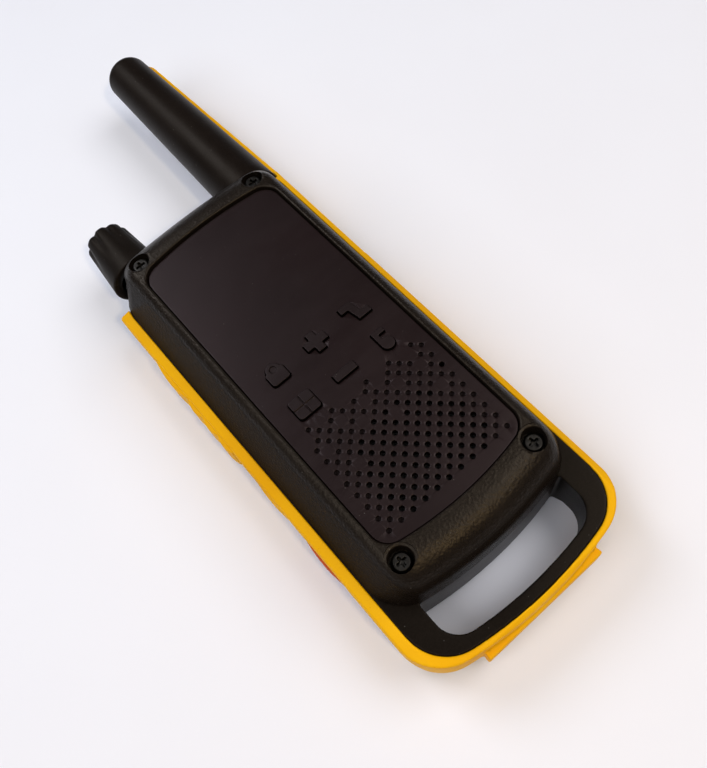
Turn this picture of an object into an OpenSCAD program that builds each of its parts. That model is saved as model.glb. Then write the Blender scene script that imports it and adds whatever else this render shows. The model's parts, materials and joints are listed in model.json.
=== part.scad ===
// Rugged handheld two-way radio, lying on its back.
// +X is to the right seen from the front, +Y runs towards the antenna tip, +Z comes out of the face.
// The origin lies on the flat back above the battery door, halfway along the whole length.
// Millimetres.

/* [Body] */
// Width over the black housing, without the yellow band
body_w = 53.4; // [53:0.1:54.5]
// Height of the face panel above the resting plane
panel_z = 30; // [30:0.1:31]
// Wall thickness of the two housings
wall = 1.5; // [1.4:0.1:1.6]
// Corner radius of the housing outline
corner_r = 9; // [8:0.5:9.5]
// Radius at the top of the leaning sides
rim_r = 3.5; // [2.5:0.5:4]

/* [Band and loop] */
// How far the yellow band stands out at the left side
band_left = 2.8; // [2.6:0.1:3.2]
// How far the yellow band stands out at the right side
band_right = 2.1; // [1.9:0.1:2.3]
// How far the foot stands out below the band
foot_h = 0.6; // [0.4:0.1:1]
// Width of each leg of the carrying loop
leg_w = 6.3; // [5.5:0.1:7]

/* [Antenna] */
// Length of the antenna above the top wall
ant_len = 67.2; // [58:0.2:80]
// Antenna radius at its root
ant_root_r = 8.2; // [8:0.05:8.3]
// Antenna radius near its tip
ant_tip_r = 6.5; // [6:0.1:6.8]

/* [Volume knob] */
// Length of the knob
knob_len = 17.2; // [15:0.1:18]
// Number of flutes round the knob
knob_flutes = 8; // [6:1:10]

/* [Speaker] */
// Distance between neighbouring speaker holes
hole_pitch = 2.3; // [2.2:0.05:2.4]
// Diameter of a speaker hole
hole_d = 1.2; // [0.9:0.1:1.4]

/* [Keys] */
// Clearance round each key in the panel
key_gap = 0.15; // [0.1:0.05:0.2]
// How far the keys stand out of the panel
key_proud = 0.7; // [0.4:0.1:1]

/* [Hidden] */

$fn = 64;

// Y is measured from the lower screw line; place() moves everything to the origin at the end
origin_y = 73;
y_top = 102.5;              // top wall
y_body = -8.85;             // lowest point of the front housing
y_loop = -21.8;             // lowest point of the black loop
y_band = y_loop - 1.4;      // lowest point of the band
y_straight = 20;            // above this the outlines have straight sides
half_w = body_w / 2;
left_x = -half_w - band_left;
right_x = half_w + band_right;
z_split = 17.4;             // where the two housings meet
z_loop = 4.3;               // back of the loop
z_band = 4.1;               // back of the band
panel_t = 1.6;
floor_z = panel_z - panel_t; // floor of the panel's recess
face_wall = 1.6;            // housing wall behind the panel
rear_corner_r = 2.5;        // top right corner of the rear housing
gap = 0.05;                 // standing gap between fixed pieces

ant_x = 19.05;              // antenna axis
ant_z = 15.5;
knob_x = -18.9;             // knob axis
knob_z = 16;
lamp_z = 15.5;              // lamp axis, at X = 0
spk_y = 12.8;               // speaker centre
mic_x = 16.46;              // microphone, under one hole of the speaker lattice
mic_y = 25.44;

board_z = 18.9;             // back of the main board
board_t = 1.2;
on_board = board_z + board_t + gap;
under_board = board_z - gap;

cell_pitch = 14.6;
cell_z = 9.35;

upper_screws = [[-17.6, 96.1], [17.6, 96.1]];
lower_screws = [[-18.2, 0], [18.2, 0]];
all_screws = concat(upper_screws, lower_screws);
board_posts = [for (y = [64.5, 82], x = [-21, 21]) [x, y]];

// Keys of the face, numbered from the upper left
LOCK = 0;
PLUS = 1;
SCAN = 2;
MENU = 3;
MINUS = 4;
CALL = 5;
key_pitch = 11.4;
key_places = [for (y = [48.7, 38.5], column = [-1:1]) [column * key_pitch, y]];

// Side keys: plate from Y, to Y, from Z, to Z; flange pocket from Z, to Z; stems' Y; stems' Z
PTT = 0;
TORCH = 1;
ALERT = 2;
side_keys = [
  [47.6, 80.4, 6, 15.6, 4.9, 16.5, [58, 72], 11],
  [27.5, 40, 6.6, 14.4, 5.5, 15.5, [33.8], 11],
  [7.8, 22.3, 5.8, 13, 4.9, 14.1, [15], 9.5]
];

BLACK = [0.06, 0.06, 0.065];
PANEL = [0.075, 0.065, 0.07];
YELLOW = [0.95, 0.68, 0.07];
ORANGE = [0.85, 0.22, 0.05];
STEEL = [0.72, 0.72, 0.74];
BOARD = [0.05, 0.3, 0.14];
RUBBER = [0.12, 0.12, 0.12];
DARK = [0.1, 0.1, 0.1];
WIRE = [0.7, 0.1, 0.1];

// ---- helpers ----
module place() { translate([0, -origin_y, 0]) children(); }
module box(corner, size) { translate(corner) cube(size); }
module at_each(places, z = 0) { for (p = places) translate([p[0], p[1], z]) children(); }

// Turns +Z to run along +Y, or along +X, from a point
module upward(from) { translate(from) rotate([-90, 0, 0]) children(); }
module rightward(from) { translate(from) rotate([0, 90, 0]) children(); }

// Section in X and Z, run along Y
module along_y(y0, y1) { translate([0, y1, 0]) rotate([90, 0, 0]) linear_extrude(y1 - y0) children(); }
// Section in Y and Z, run along X
module along_x(x0, x1) { translate([x0, 0, 0]) rotate([90, 0, 90]) linear_extrude(x1 - x0) children(); }

// Rectangle with its own radius at each corner: top left, top right, bottom right, bottom left
module round_rect(x0, x1, y0, y1, tl, tr, br, bl) {
  polygon([[x0 + bl, y0], [x1 - br, y0], [x1, y0 + br], [x1, y1 - tr],
           [x1 - tr, y1], [x0 + tl, y1], [x0, y1 - tl], [x0, y0 + bl]]);
  if (tl > 0) translate([x0 + tl, y1 - tl]) circle(tl);
  if (tr > 0) translate([x1 - tr, y1 - tr]) circle(tr);
  if (br > 0) translate([x1 - br, y0 + br]) circle(br);
  if (bl > 0) translate([x0 + bl, y0 + bl]) circle(bl);
}

// Large disc that is lowest at y0
module arch(y0, r) { translate([0, y0 + r]) circle(r, $fn = 180); }

// Lower end of an outline: straight sides, an arched edge lowest at y0,
// and fillets that run tangentially into both
module lower_end(x0, x1, y0, arch_r, fillet) {
  intersection() {
    offset(r = fillet) offset(delta = -fillet) intersection() {
      arch(y0, arch_r);
      translate([x0, -60]) square([x1 - x0, 140]);
    }
    translate([-60, -60]) square([120, y_straight + 60.01]);
  }
}

// Full outline with an arched lower end and two top corner radii
module outline2d(x0, x1, y0, y1, arch_r, fillet, tl, tr) {
  lower_end(x0, x1, y0, arch_r, fillet);
  round_rect(x0, x1, y_straight, y1, tl, tr, 0, 0);
}

// Holes in the top wall for the knob's bushing, the antenna neck and the lamp
module top_openings(grow = 0) {
  for (hole = [[knob_x, knob_z, 6.1], [ant_x, ant_z, 9.1], [0, lamp_z, 8.1]])
    upward([hole[0], y_top - 6, hole[1]]) cylinder(d = hole[2] + grow, h = 10);
}

// ---- front housing ----
// Section whose sides lean inwards by 20 degrees above the joint
module lean2d() {
  top = panel_z + 1;
  lean = tan(20) * (top - z_split);
  polygon([[-half_w, -20], [half_w, -20], [half_w, z_split], [half_w - lean, top],
           [-half_w + lean, top], [-half_w, z_split]]);
}

module front_block() {
  intersection() {
    translate([0, 0, z_split + 0.2]) linear_extrude(panel_z + 1 - z_split - 0.2)
      outline2d(-half_w, half_w, y_body, y_top, 97, 10, corner_r, corner_r);
    along_y(-30, 120) offset(r = rim_r) offset(delta = -rim_r) lean2d();
    along_x(-40, 40) round_rect(y_body - 0.3, y_top + 0.2, 0, panel_z + 1, 8, 8, 0, 0);
  }
}

// Hollow of the front housing, its sides parallel to the leaning walls; children are left standing
module front_cavity(shrink = 0) {
  inset = wall + 0.6 + shrink;
  intersection() {
    translate([0, 0, z_split - 1]) linear_extrude(floor_z - face_wall - z_split + 1) difference() {
      outline2d(-half_w + inset, half_w - inset, y_body + 2.4 + shrink, y_top - 2.4 - shrink,
                95, 8, 4.5, 4.5);
      children();
    }
    along_y(-30, 120) offset(delta = -inset) lean2d();
  }
}

module panel2d(grow = 0) {
  inner_r = 4.7 + grow;
  offset(r = inner_r) offset(delta = -inner_r) intersection() {
    translate([-19.5 - grow, -20]) square([39 + 2 * grow, 140]);
    translate([0, 93.4 + grow - 100]) circle(100, $fn = 180);
    arch(1.5 - grow, 85);
  }
}

module front_shell() {
  cut_z = floor_z - 4;
  cut_h = 6;
  color(BLACK) place() difference() {
    front_block();
    front_cavity() {
      at_each(all_screws) circle(3.3);
      at_each(board_posts) circle(2.3);
      // ring that locates the speaker
      translate([0, spk_y]) difference() {
        circle(18.6);
        circle(17.2);
        square([4, 60], center = true);
      }
    }
    // the ring, the board bosses and the upper bosses stop short
    translate([0, spk_y, z_split - 1]) difference() {
      cylinder(r = 18.7, h = 4.8);
      cylinder(r = 17.1, h = 6);
      translate([0, -spk_y, -1]) at_each(lower_screws) cylinder(r = 3.4, h = 8);
    }
    at_each(board_posts, z_split - 1) cylinder(r = 2.35, h = 3.75);
    at_each(upper_screws, z_split - 1) cylinder(r = 3.32, h = 7.75);
    // recess of the face panel
    translate([0, 0, floor_z]) linear_extrude(4) panel2d(0.12);
    // window of the display
    box([-13, 65, cut_z], [26, 19, cut_h]);
    // sound opening and microphone port
    translate([0, spk_y, cut_z]) cylinder(r = 15.5, h = cut_h);
    translate([mic_x, mic_y, cut_z]) cylinder(d = 1.4, h = cut_h);
    // pockets of the keys
    at_each(key_places) box([-4.35, -3.85, cut_z], [8.7, 7.7, cut_h]);
    // screw pockets and screw holes
    at_each(all_screws, panel_z - 2.8) cylinder(d = 5.4, h = 8);
    at_each(all_screws) cylinder(d = 2.5, h = 40);
    at_each(board_posts, z_split) cylinder(d = 1.72, h = 7.6);
    // room for the antenna's locking flange
    upward([ant_x, y_top - 4.75, ant_z]) cylinder(r = 5, h = 1.9);
    top_openings();
  }
}

// ---- face panel ----
// Rows of the speaker lattice lie at 45 degrees to the radio's sides; u and v count half steps
half_step = hole_pitch / sqrt(2);
lattice_x = 0.2;
lattice_y = 12.43;
function hole_place(u, v) = [lattice_x + half_step * u, lattice_y + half_step * v];
function in_field(p) = abs(p[0]) < 16.9 && p[1] > 5 && p[1] < 34.3;
function is_through(p) =
  norm(p - [lattice_x, spk_y]) < 13.75 || norm(p - [mic_x, mic_y]) < 0.9;
// Places [u, v] that stay plain, so that the fringe thins out towards the top
plain_places = [
  [-7, 13], [-3, 13], [-1, 13], [3, 13], [7, 13], [-10, 12], [2, 12], [8, 12], [-5, 11],
  [-1, 11], [4, 10], [8, 10], [-9, 9], [-3, 9], [1, 7], [8, 6], [-7, 5]
];
function is_plain(u, v) = len([for (q = plain_places) if (q[0] == u && q[1] == v) 1]) > 0;

// Speaker holes: those that go through the panel, or the blind ones around them
module lattice(through) {
  for (v = [-6:14]) for (u = [-11:11]) if ((u + v + 40) % 2 == 0) {
    p = hole_place(u, v);
    if (in_field(p) && is_through(p) == through && !is_plain(u, v))
      translate(p) circle(d = hole_d, $fn = 24);
  }
}

// One straight stroke of a key symbol
module bar(from, to, width, grow = 0) {
  run = to - from;
  translate(from) rotate(atan2(run[1], run[0])) translate([-grow, -width / 2 - grow])
    square([norm(run) + 2 * grow, width + 2 * grow]);
}

// Outline of a key, shaped as its symbol
module symbol(key, grow = 0) {
  if (key == PLUS || key == MINUS) bar([-2.9, 0], [2.9, 0], 2.1, grow);
  if (key == PLUS) bar([0, -2.7], [0, 2.7], 2.1, grow);
  if (key == LOCK) {
    round_rect(-2.35 - grow, 2.35 + grow, -2.6 - grow, 1 + grow, 0.4, 0.4, 0.8 + grow, 0.8 + grow);
    translate([0, 0.9]) circle(1.85 + grow);
  }
  if (key == MENU)
    round_rect(-2.9 - grow, 2.9 + grow, -2.6 - grow, 2.6 + grow,
               0.5 + grow, 0.5 + grow, 0.8 + grow, 0.8 + grow);
  if (key == CALL) {
    translate([0, -1.2]) circle(1.65 + grow);
    bar([-1.0, -1.2], [-1.0, 2.8], 1.3, grow);
    bar([-1.0, 2.2], [1.5, 2.2], 1.3, grow);
  }
  if (key == SCAN) {
    bar([-3.0, 1.75], [0.6, 1.75], 1.7, grow);
    bar([-0.3, 1.6], [0.3, -1.6], 1.9, grow);
    bar([-0.6, -1.75], [3.0, -1.75], 1.7, grow);
  }
}

module front_panel() {
  color(PANEL) place() difference() {
    translate([0, 0, floor_z + 0.02]) linear_extrude(panel_t - 0.02) difference() {
      panel2d();
      lattice(true);
      for (key = [LOCK:CALL]) translate(key_places[key]) symbol(key, key_gap);
    }
    translate([0, 0, panel_z - 0.45]) linear_extrude(1) lattice(false);
  }
}

// ---- keys ----
// Base plate behind the panel, and the symbol standing through it
module face_key(key) {
  base_z = floor_z - 1.05;
  top_z = panel_z + key_proud;
  color(PANEL) place() translate(concat(key_places[key], 0)) {
    box([-4.1, -3.6, base_z], [8.2, 7.2, 0.75]);
    difference() {
      translate([0, 0, base_z + 0.7]) linear_extrude(top_z - base_z - 0.7) symbol(key);
      // dimple
      if (key == LOCK) translate([0, 1.1, top_z - 0.35]) cylinder(r = 0.85, h = 1);
      // crossed grooves
      if (key == MENU) {
        box([-0.15, -3.5, top_z - 0.3], [0.3, 7, 1]);
        box([-3.5, -0.15, top_z - 0.3], [7, 0.3, 1]);
      }
    }
  }
}
module key_lock() { face_key(LOCK); }
module key_plus() { face_key(PLUS); }
module key_scan() { face_key(SCAN); }
module key_menu() { face_key(MENU); }
module key_minus() { face_key(MINUS); }
module key_call() { face_key(CALL); }

// ---- rear housing ----
// Outline with the loop: the top right corner is nearly square, because the antenna stands on it
module rear2d(grow = 0) {
  outline2d(-half_w - grow, half_w + grow, y_loop - grow, y_top + grow,
            100 + grow, 10.5 + grow, corner_r + grow, rear_corner_r + grow);
}

// Opening of the carrying loop
module loop_hole2d() {
  difference() {
    lower_end(-half_w + leg_w, half_w - leg_w, -18.9, 100, 6);
    arch(y_body + 0.1, 97);
  }
}

module rear_block() {
  intersection() {
    linear_extrude(z_split) difference() {
      rear2d();
      loop_hole2d();
    }
    along_y(-30, 120) round_rect(-half_w - 0.02, half_w + 0.02, 0, z_split, 0, 0, 4.5, 4.5);
    along_x(-40, 40) polygon([
      [y_loop - 1, z_loop], [-9.8, z_loop], [-5.6, 0], [y_top - 3, 0],
      [y_top + 0.1, 3], [y_top + 0.1, 20], [y_loop - 1, 20]]);
  }
}

module rear_cavity2d() {
  difference() {
    outline2d(-half_w + wall, half_w - wall, y_body + 2.2, y_top - 2.4, 95, 8, 7, 3);
    // walls of the battery bay, and the lower bosses
    translate([-22.9, 3.6]) square([45.8, 57.3]);
    at_each(lower_screws) circle(3.2);
  }
}

// Bracket that carries an upper screw past the shaft or the antenna neck; side is -1 or 1
module top_bracket(side) {
  mirror([side > 0 ? 1 : 0, 0, 0]) {
    intersection() {
      union() {
        box([-21.6, 92.9, 20.4], [7.4, 6.3, 3.6]);
        box([-24.6, 92.9, 17.2], [3.1, 3.4, 6.8]);
      }
      front_cavity(0.15);
    }
    box([-26, 92.9, 1.5], [4.5, 3.4, z_split - 1.5]);
  }
}

// Outline of the battery door, moved inwards
module door2d(inset, r) {
  round_rect(-23.4 + inset, 23.4 - inset, -4.4 + inset, 61.4 - inset, r, r, r, r);
}
// Ring between two insets from the door's outline
module door_ring2d(outer, inner) {
  difference() {
    door2d(outer, 1);
    door2d(inner, 0.5);
  }
}

// Ring between two insets from the housing outline
module seal2d(inset) {
  outline2d(-half_w + inset, half_w - inset, y_body + inset + 0.2, y_top - inset,
            97 - inset, 10 - inset, corner_r - inset, rear_corner_r);
}
module seal_ring2d(outer, inner) {
  difference() {
    seal2d(outer);
    seal2d(inner);
  }
}

module rear_shell() {
  color(BLACK) place() difference() {
    union() {
      difference() {
        rear_block();
        translate([0, 0, 2]) linear_extrude(20) intersection() {
          rear_cavity2d();
          translate([-40, 4]) square([80, 120]);
        }
        // shallower towards the loop
        translate([0, 0, 4.2]) linear_extrude(20) intersection() {
          rear_cavity2d();
          translate([-40, -40]) square([80, 44.01]);
        }
      }
      // ceiling of the battery bay rises above the joint
      box([-22.9, 3.6, z_split - 0.1], [45.8, 57.3, 0.7]);
      top_bracket(-1);
      top_bracket(1);
      at_each(upper_screws, 20.4) cylinder(r = 3.1, h = 3.6);
    }
    // battery bay and its door opening
    box([-22, 4.5, 1], [44, 55.5, 15.9]);
    box([-22.2, -3.2, -1], [44.4, 63.2, 2.75]);
    // ledge on which the door sits
    box([-23.6, -4.6, -1], [47.2, 66.2, 2.0]);
    // groove of the door's seal
    translate([0, 0, 0.9]) linear_extrude(0.65) door_ring2d(0.2, 1);
    // well for the latch behind the door's lower end, and the pocket its tongue locks into
    box([-7.2, -3.2, -1], [14.4, 6.8, 4.5]);
    box([-7, -5.4, 1.95], [14, 2.4, 1.25]);
    // screw holes
    at_each(lower_screws, 8) cylinder(d = 2.24, h = 12);
    at_each(upper_screws, 18) cylinder(d = 2.24, h = 8);
    // groove of the body seal
    translate([0, 0, z_split - 0.6]) linear_extrude(2) seal_ring2d(0.68, 1.22);
    top_openings();
    // stem holes of the side keys
    for (row = side_keys) for (y = row[6])
      rightward([-half_w - 1, y, row[7]]) cylinder(d = 3.3, h = 4);
    // ports in the right side
    box([20, 79.8, 8.1], [10, 7.8, 3.7]);
    rightward([20, 70.8, 10.7]) cylinder(d = 5.1, h = 10);
    // hole for the battery leads
    box([-3, 58, 12], [6, 4, 3]);
    // the left bracket is hollowed beside the volume control's bushing
    upward([knob_x, 92.8, knob_z]) cylinder(r = 3.3, h = 3.6);
  }
}

module body_seal() {
  color(RUBBER) place() difference() {
    translate([0, 0, z_split - 0.55]) linear_extrude(0.72) seal_ring2d(0.72, 1.18);
    top_openings(0.2);
    // left open at the top right, where the front housing's corner is rounder than the rear one's
    box([half_w - 6.4, y_top - 9, z_split - 2], [10, 10, 5]);
  }
}

// ---- yellow band ----
// Right edge leans in towards the antenna tip
module band2d() {
  intersection() {
    outline2d(left_x, right_x, y_band, y_top + 2, 105, 11.5, corner_r, 0.5);
    polygon([[-40, -40], [right_x, -40], [right_x, 64], [right_x - 0.2, 90],
             [right_x - 0.3, 110], [-40, 110]]);
  }
}

// Openings for the side keys, outside the housing only
module side_windows() {
  margin = 0.2;
  difference() {
    for (row = side_keys)
      box([-40, row[0] - margin, row[2] - margin],
          [half_w + 20, row[1] - row[0] + 2 * margin, row[3] - row[2] + 2 * margin]);
    box([-half_w - gap, 0, 0], [60, 120, 60]);
  }
}

// Pockets behind the windows for the flanges of the side keys
module flange_pockets() {
  margin = 1.1;
  for (row = side_keys)
    box([-half_w - 1.45, row[0] - margin, row[4]],
        [1.45 - gap, row[1] - row[0] + 2 * margin, row[5] - row[4]]);
}

module antenna_clearance() {
  upward([ant_x, y_top - 0.1, ant_z]) cylinder(r = ant_root_r + 0.3, h = 9);
}

// Band round the rear housing, bevelled along its edges
module band_ring() {
  intersection() {
    translate([0, 0, z_band]) linear_extrude(z_split - z_band + 0.1) difference() {
      band2d();
      rear2d(gap);
      // open along the top edge
      translate([-60, 97.8]) square([80, 40]);
    }
    along_y(-40, 130) polygon([
      [-half_w, z_split + 0.1], [half_w, z_split + 0.1], [right_x - 0.35, 16.5],
      [right_x, 15.7], [right_x, 6.2], [half_w + 0.4, z_band], [-half_w - 0.4, z_band],
      [left_x, 6.6], [left_x, 15.6], [left_x + 0.4, 16.5]]);
    along_x(-50, 50) polygon([
      [y_loop, z_split + 0.1], [y_loop - 1.1, 16.6], [y_band, 15.8], [y_band, 6],
      [y_loop - 0.4, z_band], [140, z_band], [140, 20], [y_loop, 20]]);
  }
}

// Spine up the antenna's outer edge, running out before the tip
module spine() {
  taper_h = ant_len - 6;
  difference() {
    intersection() {
      upward([ant_x, y_top, ant_z]) {
        cylinder(r1 = ant_root_r + 1.38, r2 = ant_tip_r + 1.1, h = taper_h);
        translate([0, 0, taper_h]) cylinder(r1 = ant_tip_r + 1.1, r2 = ant_tip_r - 0.4, h = 3.2);
      }
      box([ant_x + 4.6, y_top - 1, ant_z - 5.6], [12, ant_len + 4, 6.5]);
    }
    upward([ant_x, y_top - 2, ant_z]) antenna_solid(gap);
    // keeps clear of the housing below
    box([0, 90, -1], [60, y_top - 90 + gap, 60]);
  }
}

// Bridge between band and spine, beside and above the top wall
module spine_bridge() {
  bridge_x = ant_x + 7.2;
  difference() {
    union() {
      box([half_w + gap, y_top - 6, 10], [band_right - gap - 0.4, 6.4, 6.3]);
      box([bridge_x, y_top + gap, 10], [right_x - bridge_x - 0.6, 4.2, 6.3]);
    }
    antenna_clearance();
  }
}

module bumper_band() {
  color(YELLOW) place() {
    difference() {
      band_ring();
      // rounded end at the top left
      difference() {
        box([-40, 90, -1], [30, 20, 40]);
        rightward([-40, 80, 10]) cylinder(r = 17.8, h = 30);
      }
      side_windows();
      flange_pockets();
      // recess of the port cover in the right side
      box([half_w + gap, 66.9, 6.0], [10, 23.2, 10.1]);
      antenna_clearance();
    }
    // foot under the loop
    box([-16.5, y_band - foot_h, 4.6], [33, foot_h + 0.7, 6.8]);
    spine();
    spine_bridge();
  }
}

// ---- antenna ----
// Tapered antenna with a rounded tip, along +Z from 2 above its own origin
module antenna_solid(grow = 0) {
  tip_h = 4.5;
  tip_round = 3.2;
  tip_r = ant_tip_r + grow;
  translate([0, 0, 2]) {
    cylinder(r1 = ant_root_r + grow, r2 = tip_r, h = ant_len - tip_h);
    translate([0, 0, ant_len - tip_h]) rotate_extrude() intersection() {
      union() {
        square([tip_r - tip_round, tip_h + grow]);
        square([tip_r, 1.3]);
        translate([tip_r - tip_round, 1.3]) circle(tip_round);
      }
      square([20, 20]);
    }
  }
}

module antenna_cover() {
  color(BLACK) place() upward([ant_x, y_top - 2, ant_z]) difference() {
    union() {
      // stands just clear of the top wall
      difference() {
        antenna_solid();
        translate([0, 0, -1]) cylinder(r = 20, h = 3.05);
      }
      // neck through the top wall, and a locking flange inside
      translate([0, 0, -2.5]) cylinder(r = 4.5, h = 6);
      translate([0, 0, -2.6]) cylinder(r = 4.8, h = 1.6);
    }
    // bore for the coil
    translate([0, 0, -3]) cylinder(r = 3.6, h = ant_len - 3);
  }
}

// Rod with a collar near each end
module antenna_core() {
  color([0.9, 0.9, 0.86]) place() upward([ant_x, y_top, ant_z]) {
    translate([0, 0, -4.4]) cylinder(r = 1.9, h = ant_len - 4);
    translate([0, 0, -4.4]) cylinder(r = 3.5, h = 3);
    translate([0, 0, ant_len - 11]) cylinder(r = 3.5, h = 2);
  }
}

// Round wire wound into a helix: rings of points along the winding, joined into one closed surface
module helix(r, wire_r, h, turns, steps = 12, sides = 6) {
  n = turns * steps;
  slope = atan2(h / turns, 2 * PI * r);
  points = [for (i = [0:n]) for (j = [0:sides - 1])
    let (turn = 360 * i / steps, a = 360 * j / sides, u = wire_r * cos(a), v = wire_r * sin(a))
    [(r + u) * cos(turn) + v * sin(slope) * sin(turn),
     (r + u) * sin(turn) - v * sin(slope) * cos(turn),
     h * i / n + v * cos(slope)]];
  polyhedron(points, concat(
    [[for (j = [0:sides - 1]) j]],
    [for (i = [0:n - 1]) for (j = [0:sides - 1]) let (k = (j + 1) % sides)
      [i * sides + j, (i + 1) * sides + j, (i + 1) * sides + k]],
    [for (i = [0:n - 1]) for (j = [0:sides - 1]) let (k = (j + 1) % sides)
      [i * sides + j, (i + 1) * sides + k, i * sides + k]],
    [[for (j = [sides - 1:-1:0]) n * sides + j]]));
}
module antenna_coil() {
  color([0.72, 0.42, 0.2]) place() upward([ant_x, y_top + 2, ant_z])
    helix(r = 2.62, wire_r = 0.5, h = ant_len - 18, turns = 9);
}

// Bent strip between main board and antenna core
module antenna_feed() {
  strip_x = ant_x - 1.5;
  color(STEEL) place() {
    box([strip_x, y_top - 12, 12], [3, 0.3, 6.8]);
    box([strip_x, y_top - 12, 15.3], [3, 7.5, 0.3]);
    box([strip_x, y_top - 14, 18.5], [3, 2.3, 0.3]);
  }
}

// ---- volume control ----
module volume_knob() {
  crown_r = 1.5;
  color(BLACK) place() upward([knob_x, y_top + 1, knob_z]) difference() {
    intersection() {
      cylinder(r1 = 7.35, r2 = 5.93, h = knob_len);
      // rounded crown
      rotate_extrude() union() {
        square([4.5, knob_len]);
        square([8.5, knob_len - crown_r]);
        translate([4.48, knob_len - crown_r]) circle(crown_r);
      }
    }
    // flutes fade out towards the base
    for (i = [0:knob_flutes - 1]) rotate([0, 0, 360 / knob_flutes * (i + 0.5)])
      translate([9.2, 0, 0]) rotate([0, -9, 0]) cylinder(r = 1.4, h = 24);
    // blind bore for the shaft
    translate([0, 0, -1]) cylinder(r = 2.02, h = 11);
    // hollow underside clears the nut
    translate([0, 0, -1]) cylinder(r = 4.9, h = 3.2);
  }
}
module volume_shaft() {
  color(STEEL) place() upward([knob_x, y_top - 12.8, knob_z]) cylinder(r = 2, h = 23.5);
}
module volume_control() {
  color([0.25, 0.3, 0.27]) place() upward([knob_x, y_top, knob_z]) difference() {
    union() {
      // case, bushing and three pins
      box([-4.9, -2.7, -17.6], [9.8, 7.5, 7.6]);
      translate([0, 0, -10.1]) cylinder(r = 3, h = 11.2);
      for (x = [-2.5, 0, 2.5]) box([x - 0.3, -2.4, -18.8], [0.6, 0.3, 1.3]);
    }
    translate([0, 0, -13]) cylinder(r = 2.05, h = 20);
  }
}
module bushing_nut() {
  color(STEEL) place() upward([knob_x, y_top + gap, knob_z]) difference() {
    cylinder(r = 4.4, h = 1.0, $fn = 6);
    translate([0, 0, -1]) cylinder(r = 3.04, h = 4);
  }
}

// ---- screws ----
// Screw with its tip towards -Z; head_z is the underside of the head
module screw(head_z, tip_z, d, head_d, head_h) {
  rim_z = head_z + head_h;
  difference() {
    union() {
      translate([0, 0, head_z]) cylinder(d = head_d, h = head_h);
      translate([0, 0, rim_z - 0.02]) cylinder(d1 = head_d, d2 = head_d - 0.8, h = 0.45);
      translate([0, 0, tip_z + 0.8]) cylinder(d = d, h = head_z - tip_z);
      translate([0, 0, tip_z]) cylinder(d1 = d * 0.45, d2 = d, h = 0.82);
    }
    // cross recess
    for (a = [0, 90]) rotate([0, 0, a])
      box([-0.3, -head_d * 0.28, rim_z - 0.6], [0.6, head_d * 0.56, 2]);
  }
}
module housing_screws() {
  head_z = panel_z - 2.78;
  color([0.16, 0.16, 0.17]) place() {
    at_each(upper_screws) screw(head_z, 20.6, d = 2.2, head_d = 4.3, head_h = 1.1);
    at_each(lower_screws) screw(head_z, 9, d = 2.2, head_d = 4.3, head_h = 1.1);
  }
}
module board_screws() {
  color(STEEL) place() at_each(board_posts) mirror([0, 0, 1])
    screw(-under_board, -24.4, d = 1.6, head_d = 3, head_h = 0.8);
}

// ---- electronics ----
module main_board() {
  color(BOARD) place() translate([0, 0, board_z]) linear_extrude(board_t) difference() {
    round_rect(-23.2, 23.2, 33.2, 91.6, 1.5, 1.5, 1.5, 1.5);
    at_each(board_posts) circle(0.95);
    at_each(all_screws) circle(3.8);
  }
}
// Can behind the main board, open towards it, with rows of small holes
module rf_shield() {
  color(STEEL) place() difference() {
    box([-3.5, 66, 14.4], [17, 21, under_board - 14.4]);
    box([-3.3, 66.2, 14.6], [16.6, 20.6, 5]);
    for (i = [0:3], j = [0:4])
      translate([i * 3.4, 69 + j * 3.7, 14]) cylinder(d = 0.9, h = 2, $fn = 16);
  }
}
module display_frame() {
  color([0.85, 0.85, 0.83]) place() difference() {
    box([-15, 62.5, on_board], [30, 23.5, 5.6]);
    box([-13.6, 64.2, 24.6], [27.2, 20.2, 3]);
  }
}
module display_glass() {
  color([0.16, 0.2, 0.17]) place() box([-13.5, 64.3, 24.65], [27, 20, 1.5]);
}
// Sheet with a flared post behind each key
module keypad_mat() {
  color([0.78, 0.78, 0.76]) place() {
    box([-16.5, 34.2, on_board], [33, 19.6, 1.0]);
    at_each(key_places, on_board) {
      cylinder(r = 2.2, h = 6.7);
      cylinder(r1 = 3.2, r2 = 2.2, h = 2.2);
    }
  }
}

// ---- speaker and microphone ----
// Profiles are [radius, Z]
module speaker_frame() {
  color(STEEL) place() translate([0, spk_y, 0]) difference() {
    rotate_extrude() polygon([
      [6, 21.2], [8.6, 21.2], [15.6, 25], [17, 25], [17, 26.6], [16.1, 26.6],
      [16.1, 25.9], [15.2, 25.9], [8.2, 22], [6, 22]]);
    for (a = [0:60:300]) rotate([0, 0, a + 30]) translate([11.2, 0, 19]) cylinder(d = 3.6, h = 6);
  }
}
module speaker_magnet() {
  color([0.3, 0.3, 0.32]) place() translate([0, spk_y, 18.25]) difference() {
    cylinder(r = 7.2, h = 2.9);
    // ring gap for the sleeve of the cone
    translate([0, 0, 1.2]) difference() {
      cylinder(r = 4.6, h = 3);
      cylinder(r = 3.2, h = 4);
    }
  }
}
module speaker_cone() {
  color([0.15, 0.14, 0.13]) place() translate([0, spk_y, 0]) rotate_extrude() polygon([
    [0, 24.1], [2.2, 23.8], [3.8, 22.7], [3.75, 20.3], [4.15, 20.3], [4.2, 22.4], [5, 22.7],
    [13.4, 26.1], [14.6, 26.6], [15.4, 26.4], [15.4, 26.6], [14.6, 26.85], [13.3, 26.4],
    [4.8, 23.1], [4.1, 23.1], [2.5, 24.15], [0, 24.5]]);
}
module speaker_mesh() {
  color(DARK) place() translate([0, spk_y, floor_z - 0.35]) cylinder(r = 15.4, h = 0.3);
}
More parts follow.
